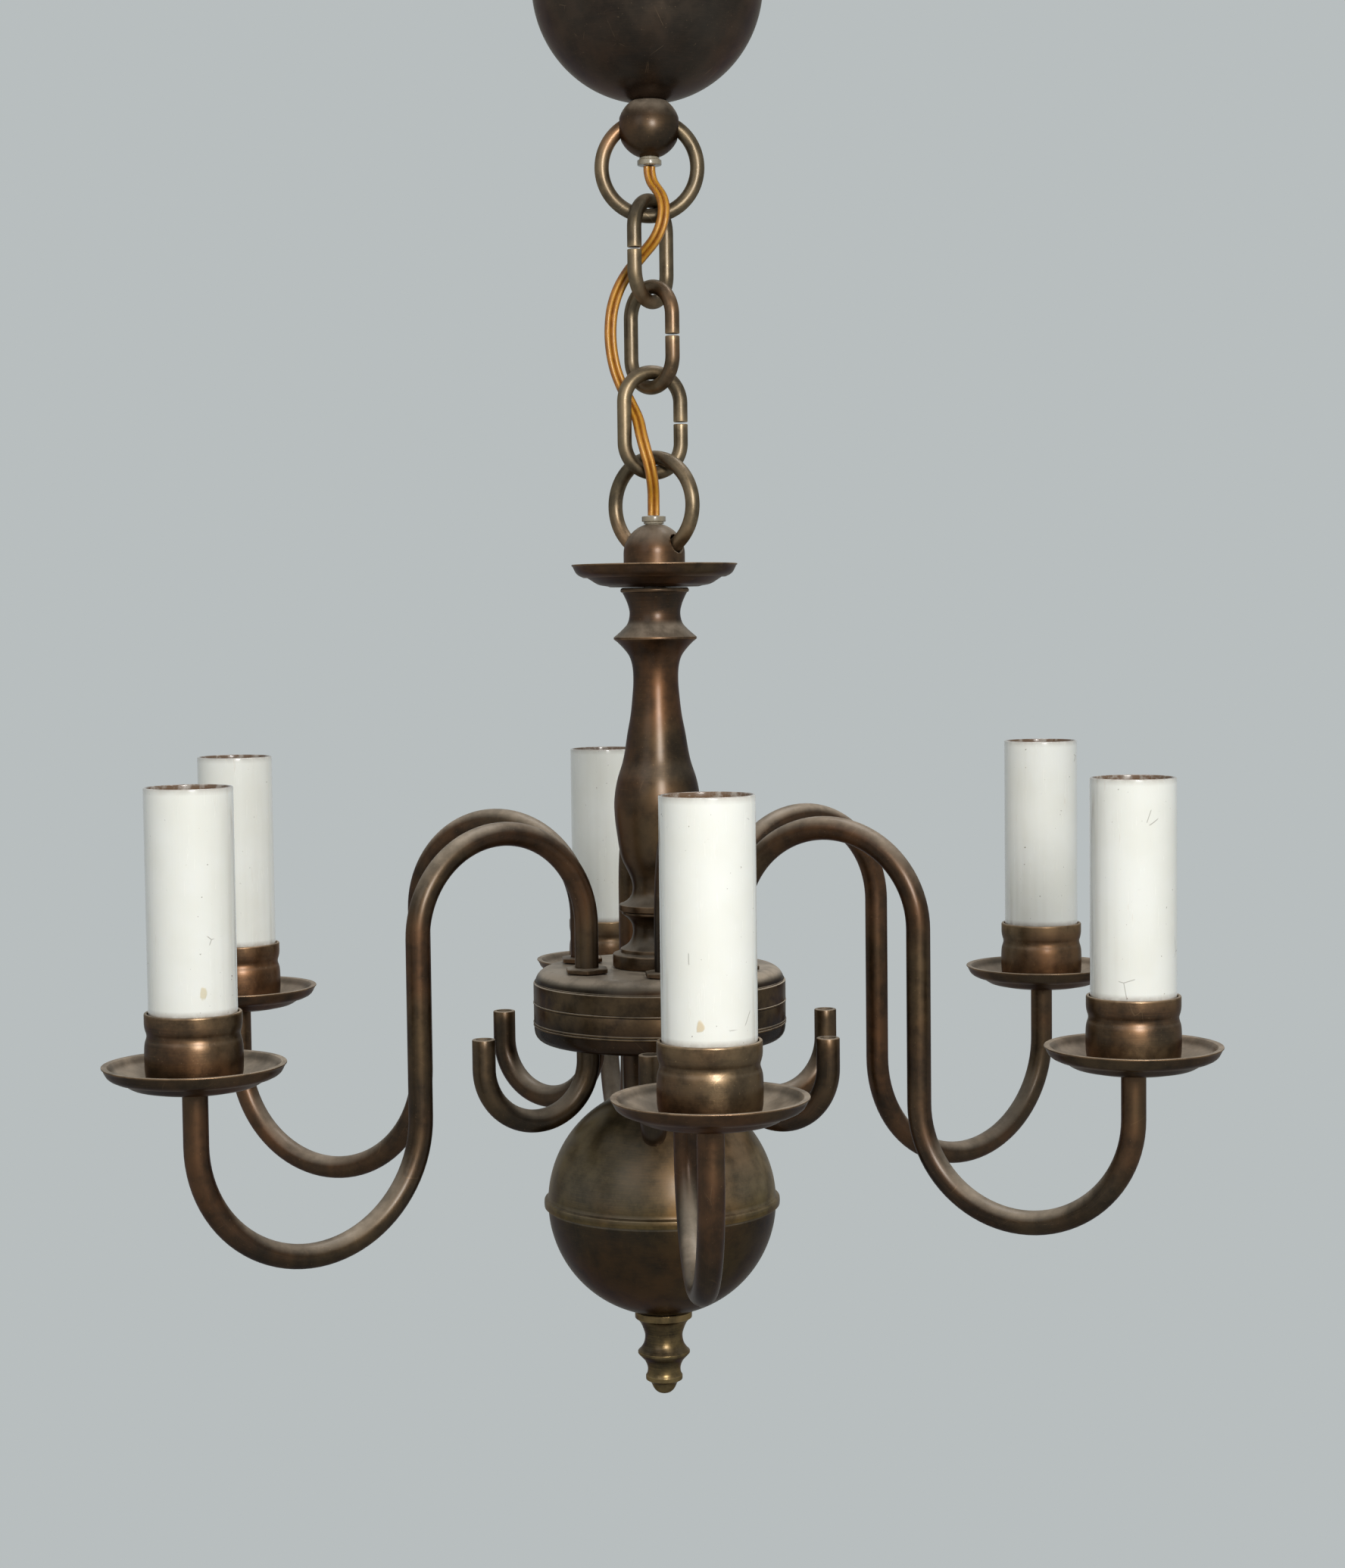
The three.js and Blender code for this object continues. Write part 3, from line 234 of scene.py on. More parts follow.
def ivory(name, drip=None):
    """Glossy ivory tube: scuffs, specks, a browned rim, a darker band above the cup, painted shade inside
    and, on two sleeves, a run of old glue.
    """
    g = material_graph(name)
    cloud = g.noise(45, 3, 0.5)
    fleck = g.noise(700, 2, 0.5, lift=4.4)
    rub = g.add("VectorMath", {0: g.object_place(), 1: (900, 900, 60)}, operation="MULTIPLY").outputs[0]
    scuff = g.noise(1.0, 3, 0.6, rub)
    colour = g.blend(g.ramp(cloud, 0.3, 0.7), (0.8, 0.805, 0.755), (0.765, 0.765, 0.7))
    colour = g.blend(g.ramp(fleck, 0.74, 0.79, 0, 0.8), colour, (0.15, 0.11, 0.07))
    colour = g.blend(g.ramp(scuff, 0.68, 0.76, 0, 0.3), colour, (0.5, 0.42, 0.33))
    hairline = g.cell_edges(95.0, 0.022, 0.008)
    hairline = g.math("MULTIPLY", hairline, g.ramp(g.noise(60, 2, 0.5, lift=9.0), 0.67, 0.7, 0, 0.5))
    colour = g.blend(hairline, colour, (0.14, 0.11, 0.08))
    patchy = g.ramp(g.noise(260, 4, 0.6), 0.3, 0.6, 0.7, 1.1)
    # Browns the top rim, darkens the band just above the cup, and paints the whole inside dark as shade
    brown_and_shade_share = g.math("MULTIPLY", g.attribute("browning_and_inner_shade"), patchy, clamp=True)
    colour = g.blend(brown_and_shade_share, colour, (0.13, 0.075, 0.04))
    relief = g.math("MULTIPLY", scuff, 0.15)
    rough = g.mix(g.ramp(scuff, 0.55, 0.75), 0.2, 0.34)
    if drip is not None:
        edge = g.math("MULTIPLY", g.noise(420, 3, 0.6), 0.35)
        share = g.ramp(g.math("ADD", g.attribute("drip"), edge), 0.45, 0.75)
        colour = g.blend(g.math("MULTIPLY", share, drip[1]), colour, drip[0])
        relief = g.math("ADD", relief, share)
    return g.finish({
        "Base Color": colour, "Roughness": rough, "Normal": g.bump(relief, 0.3, 0.0003),
        "Coat Weight": 0.7, "Coat Roughness": 0.07, "Subsurface Weight": 0.04,
        "Subsurface Radius": (0.004, 0.003, 0.002),
    })


def moulded(name, light, shade, roughness, transmission=0.0, coat=0.0):
    """Moulded plastic with flow marks, faint dirt and a fine pitted skin."""
    g = material_graph(name)
    cloud = g.noise(120, 4, 0.6)
    pits = g.noise(1400, 2, 0.5, lift=1.3)
    colour = g.blend(g.ramp(cloud, 0.35, 0.7), light, shade)
    rough = g.mix(g.ramp(pits, 0.4, 0.7), roughness, roughness + 0.15)
    return g.finish({
        "Base Color": colour, "Roughness": rough, "Normal": g.bump(pits, 0.2, 0.0001),
        "Transmission Weight": transmission, "Coat Weight": coat, "Coat Roughness": 0.1, "IOR": 1.49,
    })


def amber_flex():
    """Amber flex over two copper cores, their twisted strands showing through the skin."""
    g = material_graph("amber_flex")
    across = g.attribute("core")
    lay = g.attribute("lay", "Vector")
    strand = g.add("TexWave", {"Vector": lay, "Scale": 1.0, "Distortion": 0.6, "Detail": 1.0},
                   wave_type="BANDS", bands_direction="X").outputs["Fac"]
    cloud = g.noise(300, 3, 0.6)
    skin = g.blend(g.ramp(cloud, 0.35, 0.7), (0.34, 0.13, 0.007), (0.23, 0.076, 0.004))
    copper = g.blend(g.ramp(strand, 0.2, 0.8), (0.46, 0.2, 0.012), (0.66, 0.34, 0.028))
    core = g.ramp(across, 0.15, 0.85, 0, 0.9)
    colour = g.blend(core, skin, copper)
    rough = g.mix(core, 0.45, 0.38)
    normal = g.bump(g.math("MULTIPLY", strand, across), 0.25, 0.0002)
    return g.finish({
        "Base Color": colour, "Roughness": rough, "Normal": normal, "Coat Weight": 0.28,
        "Coat Roughness": 0.2, "Coat IOR": 1.5, "Subsurface Weight": 0.2,
        "Subsurface Radius": (0.002, 0.0008, 0.0003), "Metallic": g.math("MULTIPLY", core, 0.15),
    })


BRONZE = bronze("antique_bronze", (0.018, 0.0115, 0.0065), (0.09, 0.055, 0.026), (0.28, 0.165, 0.085))
# A lighter copy of the bronze for the cups: painted light, as if they faced the light more than the rest
CUP_PAINTED_LIGHT_BRONZE = bronze("cup_bronze_painted_light", (0.032, 0.021, 0.012), (0.165, 0.108, 0.056), (0.42, 0.27, 0.14),
                    0.75, 0.38)
# A darker copy of the bronze for the drum: painted shade, standing for the shadow of the candles in front of
# it
DRUM_PAINTED_SHADE_BRONZE = bronze("drum_bronze_painted_shade", (0.011, 0.007, 0.0035), (0.045, 0.028, 0.012), (0.22, 0.14, 0.07),
                     1.35, 0.44, (0.3, 0.85), 0.0)
CANOPY_BRONZE = bronze("canopy_bronze", (0.022, 0.015, 0.011), (0.062, 0.042, 0.027), (0.26, 0.17, 0.1),
                       1.0, 0.36, haze=0.07, scratched=0.35)
CHAIN_BRONZE = bronze("chain_bronze", (0.06, 0.045, 0.026), (0.24, 0.175, 0.1), (0.5, 0.36, 0.21), 0.4, 0.44)
# The ball's halves share one bronze, painted lighter on the upper half as light and darker on the lower half
# as shade
BALL_TOP_PAINTED_LIGHT_BRONZE = bronze("ball_top_bronze_painted_light", (0.03, 0.021, 0.008), (0.185, 0.128, 0.04), (0.21, 0.14, 0.05),
                         0.29, 0.4, (-0.04, 0.25))
BALL_LOW_PAINTED_SHADE_BRONZE = bronze("ball_low_bronze_painted_shade", (0.016, 0.01, 0.004), (0.07, 0.045, 0.015), (0.14, 0.09, 0.034),
                         0.3, 0.44, (-0.04, 0.25), 0.02)
FINIAL_BRONZE = bronze("finial_bronze", (0.026, 0.017, 0.008), (0.26, 0.175, 0.07), (0.34, 0.235, 0.1),
                       0.3, 0.32, (0.3, 0.9), 0.0)
STEEL = zinc_steel()
IVORY = ivory("ivory_sleeve")
IVORY_BROWN_RUN = ivory("ivory_brown_run", ((0.6, 0.46, 0.25), 0.7))
IVORY_PALE_RUN = ivory("ivory_pale_run", ((0.6, 0.5, 0.27), 0.6))
HOLDER = moulded("holder_plastic", (0.035, 0.026, 0.02), (0.02, 0.015, 0.012), 0.42)
LINER = bronze("socket_brass", (0.28, 0.18, 0.08), (0.5, 0.34, 0.15), (0.75, 0.55, 0.28), 0.2, 0.3)
CLEAR = moulded("clear_plastic", (0.29, 0.25, 0.18), (0.2, 0.17, 0.115), 0.3, transmission=0.15, coat=0.3)
NYLON = moulded("terminal_nylon", (0.72, 0.71, 0.65), (0.64, 0.62, 0.55), 0.4, coat=0.1)
FLEX = amber_flex()


# Outlines, whose points are (radius, height)


def rounded(corners, closed=True, steps=4):
    """The line through these corners, each (radius, height) or with a fillet as a third number."""
    line = []
    count = len(corners)
    for index, corner in enumerate(corners):
        here = Vector(corner[:2])
        fillet = corner[2] if len(corner) > 2 else 0
        at_end = not closed and index in (0, count - 1)
        if at_end or not fillet:
            line.append(here)
            continue
        back = Vector(corners[index - 1][:2]) - here
        on = Vector(corners[(index + 1) % count][:2]) - here
        half = back.angle(on) / 2
        reach = min(fillet / math.tan(half), 0.48 * back.length, 0.48 * on.length)
        middle = here + (back.normalized() + on.normalized()).normalized() * (reach / math.cos(half))
        start = here + back.normalized() * reach - middle
        end = here + on.normalized() * reach - middle
        for step in range(steps + 1):
            line.append(middle + start.slerp(end, step / steps) * start.length)
    return line


def flowing(knots, gap=0.7):
    """A smooth line through these knots, with its points about this far apart."""
    knots = [Vector(knot) for knot in knots]
    ends = [knots[0] * 2 - knots[1], *knots, knots[-1] * 2 - knots[-2]]
    line = [knots[0]]
    for p0, p1, p2, p3 in zip(ends, ends[1:], ends[2:], ends[3:]):
        t1 = math.sqrt((p1 - p0).length)
        t2 = t1 + math.sqrt((p2 - p1).length)
        t3 = t2 + math.sqrt((p3 - p2).length)
        steps = max(1, round((p2 - p1).length / gap))
        for step in range(1, steps + 1):
            t = t1 + (t2 - t1) * step / steps
            a1 = p0.lerp(p1, t / t1)
            a2 = p1.lerp(p2, (t - t1) / (t2 - t1))
            a3 = p2.lerp(p3, (t - t2) / (t3 - t2))
            b1 = a1.lerp(a2, t / t2)
            b2 = a2.lerp(a3, (t - t1) / (t3 - t1))
            line.append(b1.lerp(b2, (t - t1) / (t2 - t1)))
    return line


class Outline:
    """A section's line, made run by run, with its heights counted from zero. A corner is (radius,
    height), or has its fillet as a third number."""

    def __init__(self, zero, *corners):
        self.zero = zero
        self.line = rounded(corners, closed=False)

    def corners(self, *corners):
        self.line += rounded([tuple(self.line[-1]), *corners], closed=False)[1:]
        return self

    def curve(self, *knots, gap=0.7):
        self.line += flowing([self.line[-1], *knots], gap)[1:]
        return self

    def arc(self, middle, radius, start, end, steps):
        """An arc with both its ends; its angles are in degrees from the +radius side."""
        for step in range(steps + 1):
            angle = math.radians(start + (end - start) * step / steps)
            self.line.append(Vector(middle) + radius * Vector((math.cos(angle), math.sin(angle))))
        return self

    def turned(self, *how, shape=None):
        """A new shape, or the one given, with this outline turned in it; how is as in Shape.turn."""
        points = [Vector((point.x, self.zero + point.y)) for point in self.line]
        return (shape or Shape()).turn(points, *how)


# Meshes

GRAIN_ALONG = 0.05  # the grain's scale along the metal's marks, against 1 across them
LONG_RUN = 5
SHARP_EDGE = math.radians(38)
WEAR_STARTS = 220  # curvatures, per metre
WEAR_WHOLE = 920


def divided(corners, parts):
    """The closed outline with its long upright runs in this many parts."""
    line = []
    for a, b in zip(corners, [*corners[1:], corners[0]]):
        line.append(a)
        if abs(a.y - b.y) > LONG_RUN:
            line += [a.lerp(b, share / parts) for share in range(1, parts)]
    return line


def runs_along(points):
    """How far along the line each of its points is."""
    runs = [0.0]
    for a, b in zip(points, points[1:]):
        runs.append(runs[-1] + (b - a).length)
    return runs


def circle(sides):
    """The angle, cosine and sine of even steps round a circle."""
    angles = [2 * math.pi * side / sides for side in range(sides)]
    return [(angle, math.cos(angle), math.sin(angle)) for angle in angles]


class Shape:
    """Points, faces and grain that become one mesh. Grain runs fine across the metal's marks."""

    def __init__(self):
        self.points, self.faces, self.grain, self.slots = [], [], [], []

    def skin(self, rings, looped, slot=0, caps=True):
        """Joins rings of (point, grain), all as long, and looped joins the last to the first."""
        first = len(self.points)
        sides, count = len(rings[0]), len(rings)
        for ring in rings:
            self.points += [point for point, _ in ring]
            self.grain += [grain for _, grain in ring]
        faces = []
        for row in range(count if looped else count - 1):
            low, high = first + row * sides, first + ((row + 1) % count) * sides
            for side in range(sides):
                other = (side + 1) % sides
                faces.append((low + side, low + other, high + other, high + side))
        if caps and not looped:
            faces.append(tuple(first + side for side in reversed(range(sides))))
            faces.append(tuple(first + (count - 1) * sides + side for side in range(sides)))
        self.faces += faces
        self.slots += [slot] * len(faces)
        return self

    def turn(self, outline, sides=96, place=Matrix(), slot=0, thread=None):
        """Turns a closed outline about the Z axis, or about the axis that place moves it to. thread
        says how much is added to the radius at an angle and a point of the outline."""
        rings = []
        for point, run in zip(outline, runs_along(outline)):
            ring = []
            for angle, cos, sin in circle(sides):
                radius = point.x + (thread(angle, point) if thread else 0)
                grain = Vector((run, cos * point.x * GRAIN_ALONG, sin * point.x * GRAIN_ALONG))
                ring.append((place @ Vector((radius * cos, radius * sin, point.y)), grain))
            rings.append(ring)
        on_axis = outline[0].x < 1e-6 and outline[-1].x < 1e-6
        return self.skin(rings, not on_axis, slot, caps=False)

    def sweep(self, stations, sides=32, looped=False):
        """A round skin along stations, each (middle, sideways, upwards, radius)."""
        rings = []
        for station, run in zip(stations, runs_along([station[0] for station in stations])):
            middle, sideways, upwards, radius = station
            rings.append([
                (middle + (sideways * cos + upwards * sin) * radius,
                 Vector((cos * radius, sin * radius, run * GRAIN_ALONG)))
                for _, cos, sin in circle(sides)
            ])
        return self.skin(rings, looped)

    def nut(self, radius, bottom, top, bore, place=Matrix(), chamfer=0.5):
        """A six-sided nut with a round bore and its outer corners turned off."""
        half = math.pi / 6
        flat = radius * math.cos(half)
        rings = []
        for limit, height in ((bore, bottom), (flat - chamfer, bottom), (radius, bottom + chamfer),
                              (radius, top - chamfer), (flat - chamfer, top), (bore, top)):
            ring = []
            for angle, cos, sin in circle(72):
                turn = (angle + half) % (2 * half) - half
                reach = min(limit, flat / math.cos(turn - half if turn > 0 else turn + half))
                grain = Vector((height, reach * 0.5, angle))
                ring.append((place @ Vector((reach * cos, reach * sin, height)), grain))
            rings.append(ring)
        return self.skin(rings, looped=True)

    def block(self, low, high, bevel):
        """A box with chamfered edges."""
        rings = []
        for inset, z in ((bevel, low[2]), (0, low[2] + bevel), (0, high[2] - bevel), (bevel, high[2])):
            x0, x1, y0, y1 = low[0] + inset, high[0] - inset, low[1] + inset, high[1] - inset
            corners = ((x0 + bevel, y0), (x1 - bevel, y0), (x1, y0 + bevel), (x1, y1 - bevel),
                       (x1 - bevel, y1), (x0 + bevel, y1), (x0, y1 - bevel), (x0, y0 + bevel))
            rings.append([(Vector((x, y, z)), Vector((y * 2, x * 0.1, z))) for x, y in corners])
        return self.skin(rings, looped=False)


def plug(radius, bottom, top, sides, place):
    """A plain round cutter."""
    outline = [Vector(point) for point in ((0, bottom), (radius, bottom), (radius, top), (0, top))]
    return Shape().turn(outline, sides, place)


def mesh_of(name, shape):
    mesh = bpy.data.meshes.new(name)
    mesh.from_pydata([point * MM for point in shape.points], [], shape.faces)
    return mesh


def clean(mesh):
    """Merges points that lie together and turns the faces outwards."""
    work = bmesh.new()
    work.from_mesh(mesh)
    bmesh.ops.remove_doubles(work, verts=work.verts, dist=2e-6)
    bmesh.ops.recalc_face_normals(work, faces=work.faces)
    work.to_mesh(mesh)
    work.free()


def write(mesh, name, values, vectors=False):
    """Writes numbers, or vectors in one flat list, as an attribute of the mesh's points."""
    layer = mesh.attributes.new(name, "FLOAT_VECTOR" if vectors else "FLOAT", "POINT")
    layer.data.foreach_set("vector" if vectors else "value", values)


def mark_surface(mesh):
    """Writes how sharply each point stands proud (wear) and how much it faces up (up)."""
    count = len(mesh.vertices)
    normals = [vertex.normal.copy() for vertex in mesh.vertices]
    places = [vertex.co.copy() for vertex in mesh.vertices]
    bends = [0.0] * count
    neighbours = [[] for _ in range(count)]
    for edge in mesh.edges:
        a, b = edge.vertices
        way = places[a] - places[b]
        size = max(way.length_squared, 1e-12)
        bends[a] += 2 * normals[a].dot(way) / size
        bends[b] -= 2 * normals[b].dot(way) / size
        neighbours[a].append(b)
        neighbours[b].append(a)
    wear = []
    for bend, near in zip(bends, neighbours):
        share = (bend / max(len(near), 1) - WEAR_STARTS) / (WEAR_WHOLE - WEAR_STARTS)
        wear.append(min(max(share, 0), 1))
    for _ in range(2):
        wear = [
            max(own, 0.7 * sum(wear[n] for n in near) / max(len(near), 1))
            for own, near in zip(wear, neighbours)
        ]
    write(mesh, "wear", wear)
    write(mesh, "up", [normal.z for normal in normals])


def make(name, shape, node, materials=(BRONZE,), body="frame", cutters=()):
    """Makes the piece, cuts it, and puts it on its body in place of the node's solids."""
    mesh = mesh_of(name, shape)
    write(mesh, "grain", [value for grain in shape.grain for value in grain], vectors=True)
    mesh.polygons.foreach_set("material_index", shape.slots)
    clean(mesh)
    for material in materials:
        mesh.materials.append(material)
    piece = add_object(name, mesh)
    for cutter in cutters:
        cut_away(piece, cutter)
    mesh = piece.data
    mesh.shade_smooth()
    mesh.set_sharp_from_angle(angle=SHARP_EDGE)
    mark_surface(mesh)
    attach(piece, body)
    if node:
        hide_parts(node)
    return piece


def cut_away(piece, shape):
    """Cuts a shape out of a piece and keeps the result as its mesh."""
    mesh = mesh_of("cutter", shape)
    clean(mesh)
    cutter = add_object("cutter", mesh)
    change = piece.modifiers.new("cut", "BOOLEAN")
    change.operation = "DIFFERENCE"
    change.solver = "EXACT"
    change.object = cutter
    graph = bpy.context.evaluated_depsgraph_get()
    result = bpy.data.meshes.new_from_object(piece.evaluated_get(graph))
    piece.modifiers.clear()
    piece.data = result
    bpy.data.objects.remove(cutter)


def top_of(node):
    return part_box(node)[1].z / MM


def bottom_of(node):
    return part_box(node)[0].z / MM


def middle_of(node):
    return (top_of(node) + bottom_of(node)) / 2


def on_ball(radius, at_radius):
    """The height over a ball's middle at which its surface has this radius."""
    return math.sqrt(radius**2 - at_radius**2)


def ball_angle(radius, at_radius):
    return math.degrees(math.acos(at_radius / radius))


def rise_angle(radius, height):
    return math.degrees(math.asin(height / radius))


def upright(x=0.0, y=0.0, z=0.0):
    return Matrix.Translation((x, y, z))


# Ceiling fitting

STRAP_THICKNESS = 2.2
STRAP_HOLES = 27
CANOPY_RADIUS = 46.5
CANOPY_LAND = 8
SCREW_OFFSET = 3.6
WIRE_RADIUS = 2.9
RING_RADIUS = 19.3
RING_TURNS = {"upper_ring": 0, "lower_ring": -36}
LOOP_RADIUS = 12.5
LOOP_WALL = 1.6
LOOP_SEAT = 7.1
LOOP_HOLE_PLAY = 1
ROD_BORE = 3.4
BUSH_HOLE = 3.9


def ceiling_strap():
    shape = Shape().block((-37, -8, -STRAP_THICKNESS), (37, 8, 0), 0.5)
    bottom = bottom_of("ceiling_strap")
    boss = rounded([(0, -1.5), (8.5, -1.5), (8.5, bottom, 0.5), (ROD_HOLE, bottom, 0.4),
                    (ROD_HOLE, bottom + 8), (0, bottom + 8)], closed=False)
    shape.turn(boss, 48)
    holes = [plug(2.4, -4, 1, 32, upright(x)) for x in (-STRAP_HOLES, STRAP_HOLES)]
    make("strap", shape, "ceiling_strap", [STEEL], "ceiling_mount", holes)


def canopy():
    top = top_of("canopy_bowl")
    land = bottom_of("canopy_bowl") - top
    inside = CANOPY_RADIUS - SHEET
    skirt = CANOPY_RADIUS - 0.5
    middle = (0, -7.1)
    line = Outline(top, (CANOPY_RADIUS - 0.9, 0), (CANOPY_RADIUS, 0, 0.4), (CANOPY_RADIUS, -2.2, 0.3),
                   (skirt, -2.6), (skirt, -4), (skirt + 0.1, -5.6), (skirt + 0.35, -6.6))
    line.arc(middle, CANOPY_RADIUS, 0, -ball_angle(CANOPY_RADIUS, CANOPY_LAND), 56)
    line.corners((ROD_HOLE, land, 0.2), (ROD_HOLE, land + SHEET))
    line.arc(middle, inside, -ball_angle(inside, CANOPY_LAND), 0, 40)
    make("canopy", line.turned(128), "canopy_bowl", [CANOPY_BRONZE], "ceiling_mount")


def canopy_nut():
    shape = Shape().nut(8.5, bottom_of("canopy_locknut"), top_of("canopy_locknut"), ROD_HOLE)
    make("canopy_nut", shape, "canopy_locknut", [STEEL], "ceiling_mount")


def terminal_block():
    """Three poles side by side, each with a wire tunnel and two screws in their wells."""
    low, high = (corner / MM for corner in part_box("terminal_block"))
    wide = (high.x - low.x) / 3
    mid_y, mid_z = (low.y + high.y) / 2, (low.z + high.z) / 2
    head = rounded([(0, -3), (1.5, -3), (1.5, -1.6, 0.3), (0, -1.5)], closed=False)
    screws = Shape()
    cutters, slots = [], []
    for pole in range(3):
        x = low.x + wide * (pole + 0.5)
        cutters.append(plug(2, -8, 8, 24, upright(x, mid_y, mid_z) @ Matrix.Rotation(math.pi / 2, 4, "X")))
        for y in (-SCREW_OFFSET, SCREW_OFFSET):
            place = upright(x, mid_y + y, high.z)
            cutters.append(plug(1.7, -3.2, 1, 24, place))
            screws.turn(head, 24, place)
            slot = Shape().block((-2, -0.22, -2.3), (2, 0.22, 0), 0.02)
            spin = place @ Matrix.Rotation(0.4 + pole * 0.9 + y, 4, "Z")
            slot.points = [spin @ point for point in slot.points]
            slots.append(slot)
        if pole:
            groove = x - wide / 2
            cutters.append(Shape().block((groove - 0.5, low.y - 1, high.z - 1.6),
                                         (groove + 0.5, high.y + 1, high.z + 1), 0.1))
    make("terminal_block_body", Shape().block(low, high, 0.7), "terminal_block", [NYLON], "ceiling_mount",
         cutters)
    make("terminal_screws", screws, None, [STEEL], "ceiling_mount", slots)


def ring_stations(node, radius, steps):
    spin = Matrix.Rotation(math.radians(RING_TURNS[node]), 3, "Z")
    stations = []
    for _, cos, sin in circle(steps):
        out = spin @ Vector((cos, 0, sin))
        middle = out * RING_RADIUS + Vector((0, 0, middle_of(node)))
        stations.append((middle, out, spin @ Vector((0, 1, 0)), radius))
    return stations


def ring_hole(node):
    """The cutter for the holes that a ring passes through."""
    return Shape().sweep(ring_stations(node, WIRE_RADIUS + LOOP_HOLE_PLAY, 72), 24, looped=True)


def upper_loop():
    seat = bottom_of("canopy_bowl") - SEAT_GAP
    middle = (0, seat - on_ball(LOOP_RADIUS, LOOP_SEAT))
    inside = LOOP_RADIUS - LOOP_WALL
    top = top_of("canopy_loop")
    line = Outline(0, (ROD_BORE, top), (ROD_RADIUS, top, 0.6), (ROD_RADIUS, seat, 0.3),
                   (LOOP_SEAT - 0.2, seat))
    lowest = -ball_angle(LOOP_RADIUS, BUSH_HOLE)
    line.arc(middle, LOOP_RADIUS, ball_angle(LOOP_RADIUS, LOOP_SEAT), lowest, 36)
    line.arc(middle, inside, -ball_angle(inside, BUSH_HOLE), ball_angle(inside, ROD_BORE), 26)
    make("upper_loop", line.turned(72), "canopy_loop", body="ceiling_mount",
         cutters=[ring_hole("upper_ring")])


def lower_loop():
    middle = (0, 12)
    inside = LOOP_RADIUS - LOOP_WALL
    groove = LOOP_RADIUS - 0.35
    line = Outline(bottom_of("column_loop"), (ROD_HOLE, 2.5), (ROD_HOLE, 0), (LOOP_RADIUS, 0, 0.5),
                   (LOOP_RADIUS, 1.4, 0.3), (groove, 1.7, 0.2), (groove, 2.4, 0.2), (LOOP_RADIUS, 2.8))
    line.arc(middle, LOOP_RADIUS, 0, ball_angle(LOOP_RADIUS, BUSH_HOLE), 30)
    line.arc(middle, inside, ball_angle(inside, BUSH_HOLE), 0, 22).corners((inside, 2.5))
    make("lower_loop", line.turned(72), "column_loop", cutters=[ring_hole("lower_ring")])


def cord_bush(node, body, side):
    """A flanged grommet; side is +1 with the flange on top and -1 with it underneath."""
    face = top_of(node) if side > 0 else bottom_of(node)
    corners = [(1.7, 0, 0.3), (4.9, 0, 0.35), (4.9, 2.1, 0.35), (4.1, 2.3, 0.2), (4.1, 3.1, 0.2),
               (3.5, 3.1, 0.1), (3.5, 7.1, 0.3), (1.7, 7.1, 0.2)]
    outline = rounded([(radius, face - side * height, fillet) for radius, height, fillet in corners])
    make(node + "_grommet", Shape().turn(outline, 48), node, [CLEAR], body)


# Chain

LINK_LENGTH = 40.5
LINK_HALF = 12.2
LINK_CUT = 0.8
LINK_TURNS = [58 + 180, -47, 21]


def chain_ring(node):
    shape = Shape().sweep(ring_stations(node, WIRE_RADIUS, 120), 32, looped=True)
    make(node + "_wire", shape, node, [CHAIN_BRONZE], node)


class BentLine:
    """A middle line in a plane, made of straight runs and round bends."""

    def __init__(self, x, z, heading):
        self.x, self.z, self.heading = x, z, math.radians(heading)
        self.points = [(x, z, self.heading)]

    def straight(self, length, steps=1):
        for _ in range(steps):
            self.x += math.cos(self.heading) * length / steps
            self.z += math.sin(self.heading) * length / steps
            self.points.append((self.x, self.z, self.heading))
        return self

    def bend(self, radius, turn, step_size=4):
        turn = math.radians(turn)
        side = math.copysign(1, turn)
        out = self.heading - side * math.pi / 2
        middle = (self.x - radius * math.cos(out), self.z - radius * math.sin(out))
        steps = max(2, round(abs(math.degrees(turn)) / step_size))
        start = self.heading
        for step in range(1, steps + 1):
            angle = out + turn * step / steps
            self.x = middle[0] + radius * math.cos(angle)
            self.z = middle[1] + radius * math.sin(angle)
            self.heading = start + turn * step / steps
            self.points.append((self.x, self.z, self.heading))
        return self


def line_stations(points, radius, place):
    """Stations of a round tube along points (x, z, heading) in the XZ plane that place moves."""
    spin = place.to_3x3()
    sideways = spin @ Vector((0, 1, 0))
    stations = []
    for x, z, heading in points:
        upwards = spin @ Vector((-math.sin(heading), 0, math.cos(heading)))
        stations.append((place @ Vector((x, 0, z)), sideways, upwards, radius))
    return stations


def rounded_ends(stations, fillet):
    """Adds a rounded edge at both ends of solid wire."""

    def edge(first, second):
        middle, sideways, upwards, radius = first
        way = (second[0] - middle).normalized()
        steps = []
        for step in range(5):
            angle = math.pi / 2 * step / 4
            inset, less = fillet * (1 - math.cos(angle)), fillet * (1 - math.sin(angle))
            steps.append((middle + way * inset, sideways, upwards, radius - less))
        return steps

    return [*edge(*stations[:2]), *stations[1:-1], *edge(*stations[:-3:-1])[::-1]]


def chain_link(index):
    node = f"chain_link_{index + 1}"
    side = LINK_LENGTH - 2 * LINK_HALF
    line = BentLine(LINK_HALF, LINK_CUT / 2, 90)
    line.straight((side - LINK_CUT) / 2, 3).bend(LINK_HALF, 180).straight(side, 5)
    line.bend(LINK_HALF, 180).straight((side - LINK_CUT) / 2, 3)
    place = upright(z=middle_of(node)) @ Matrix.Rotation(math.radians(LINK_TURNS[index]), 4, "Z")
    stations = rounded_ends(line_stations(line.points, WIRE_RADIUS, place), 0.35)
    make(node + "_wire", Shape().sweep(stations), node, [CHAIN_BRONZE], node)
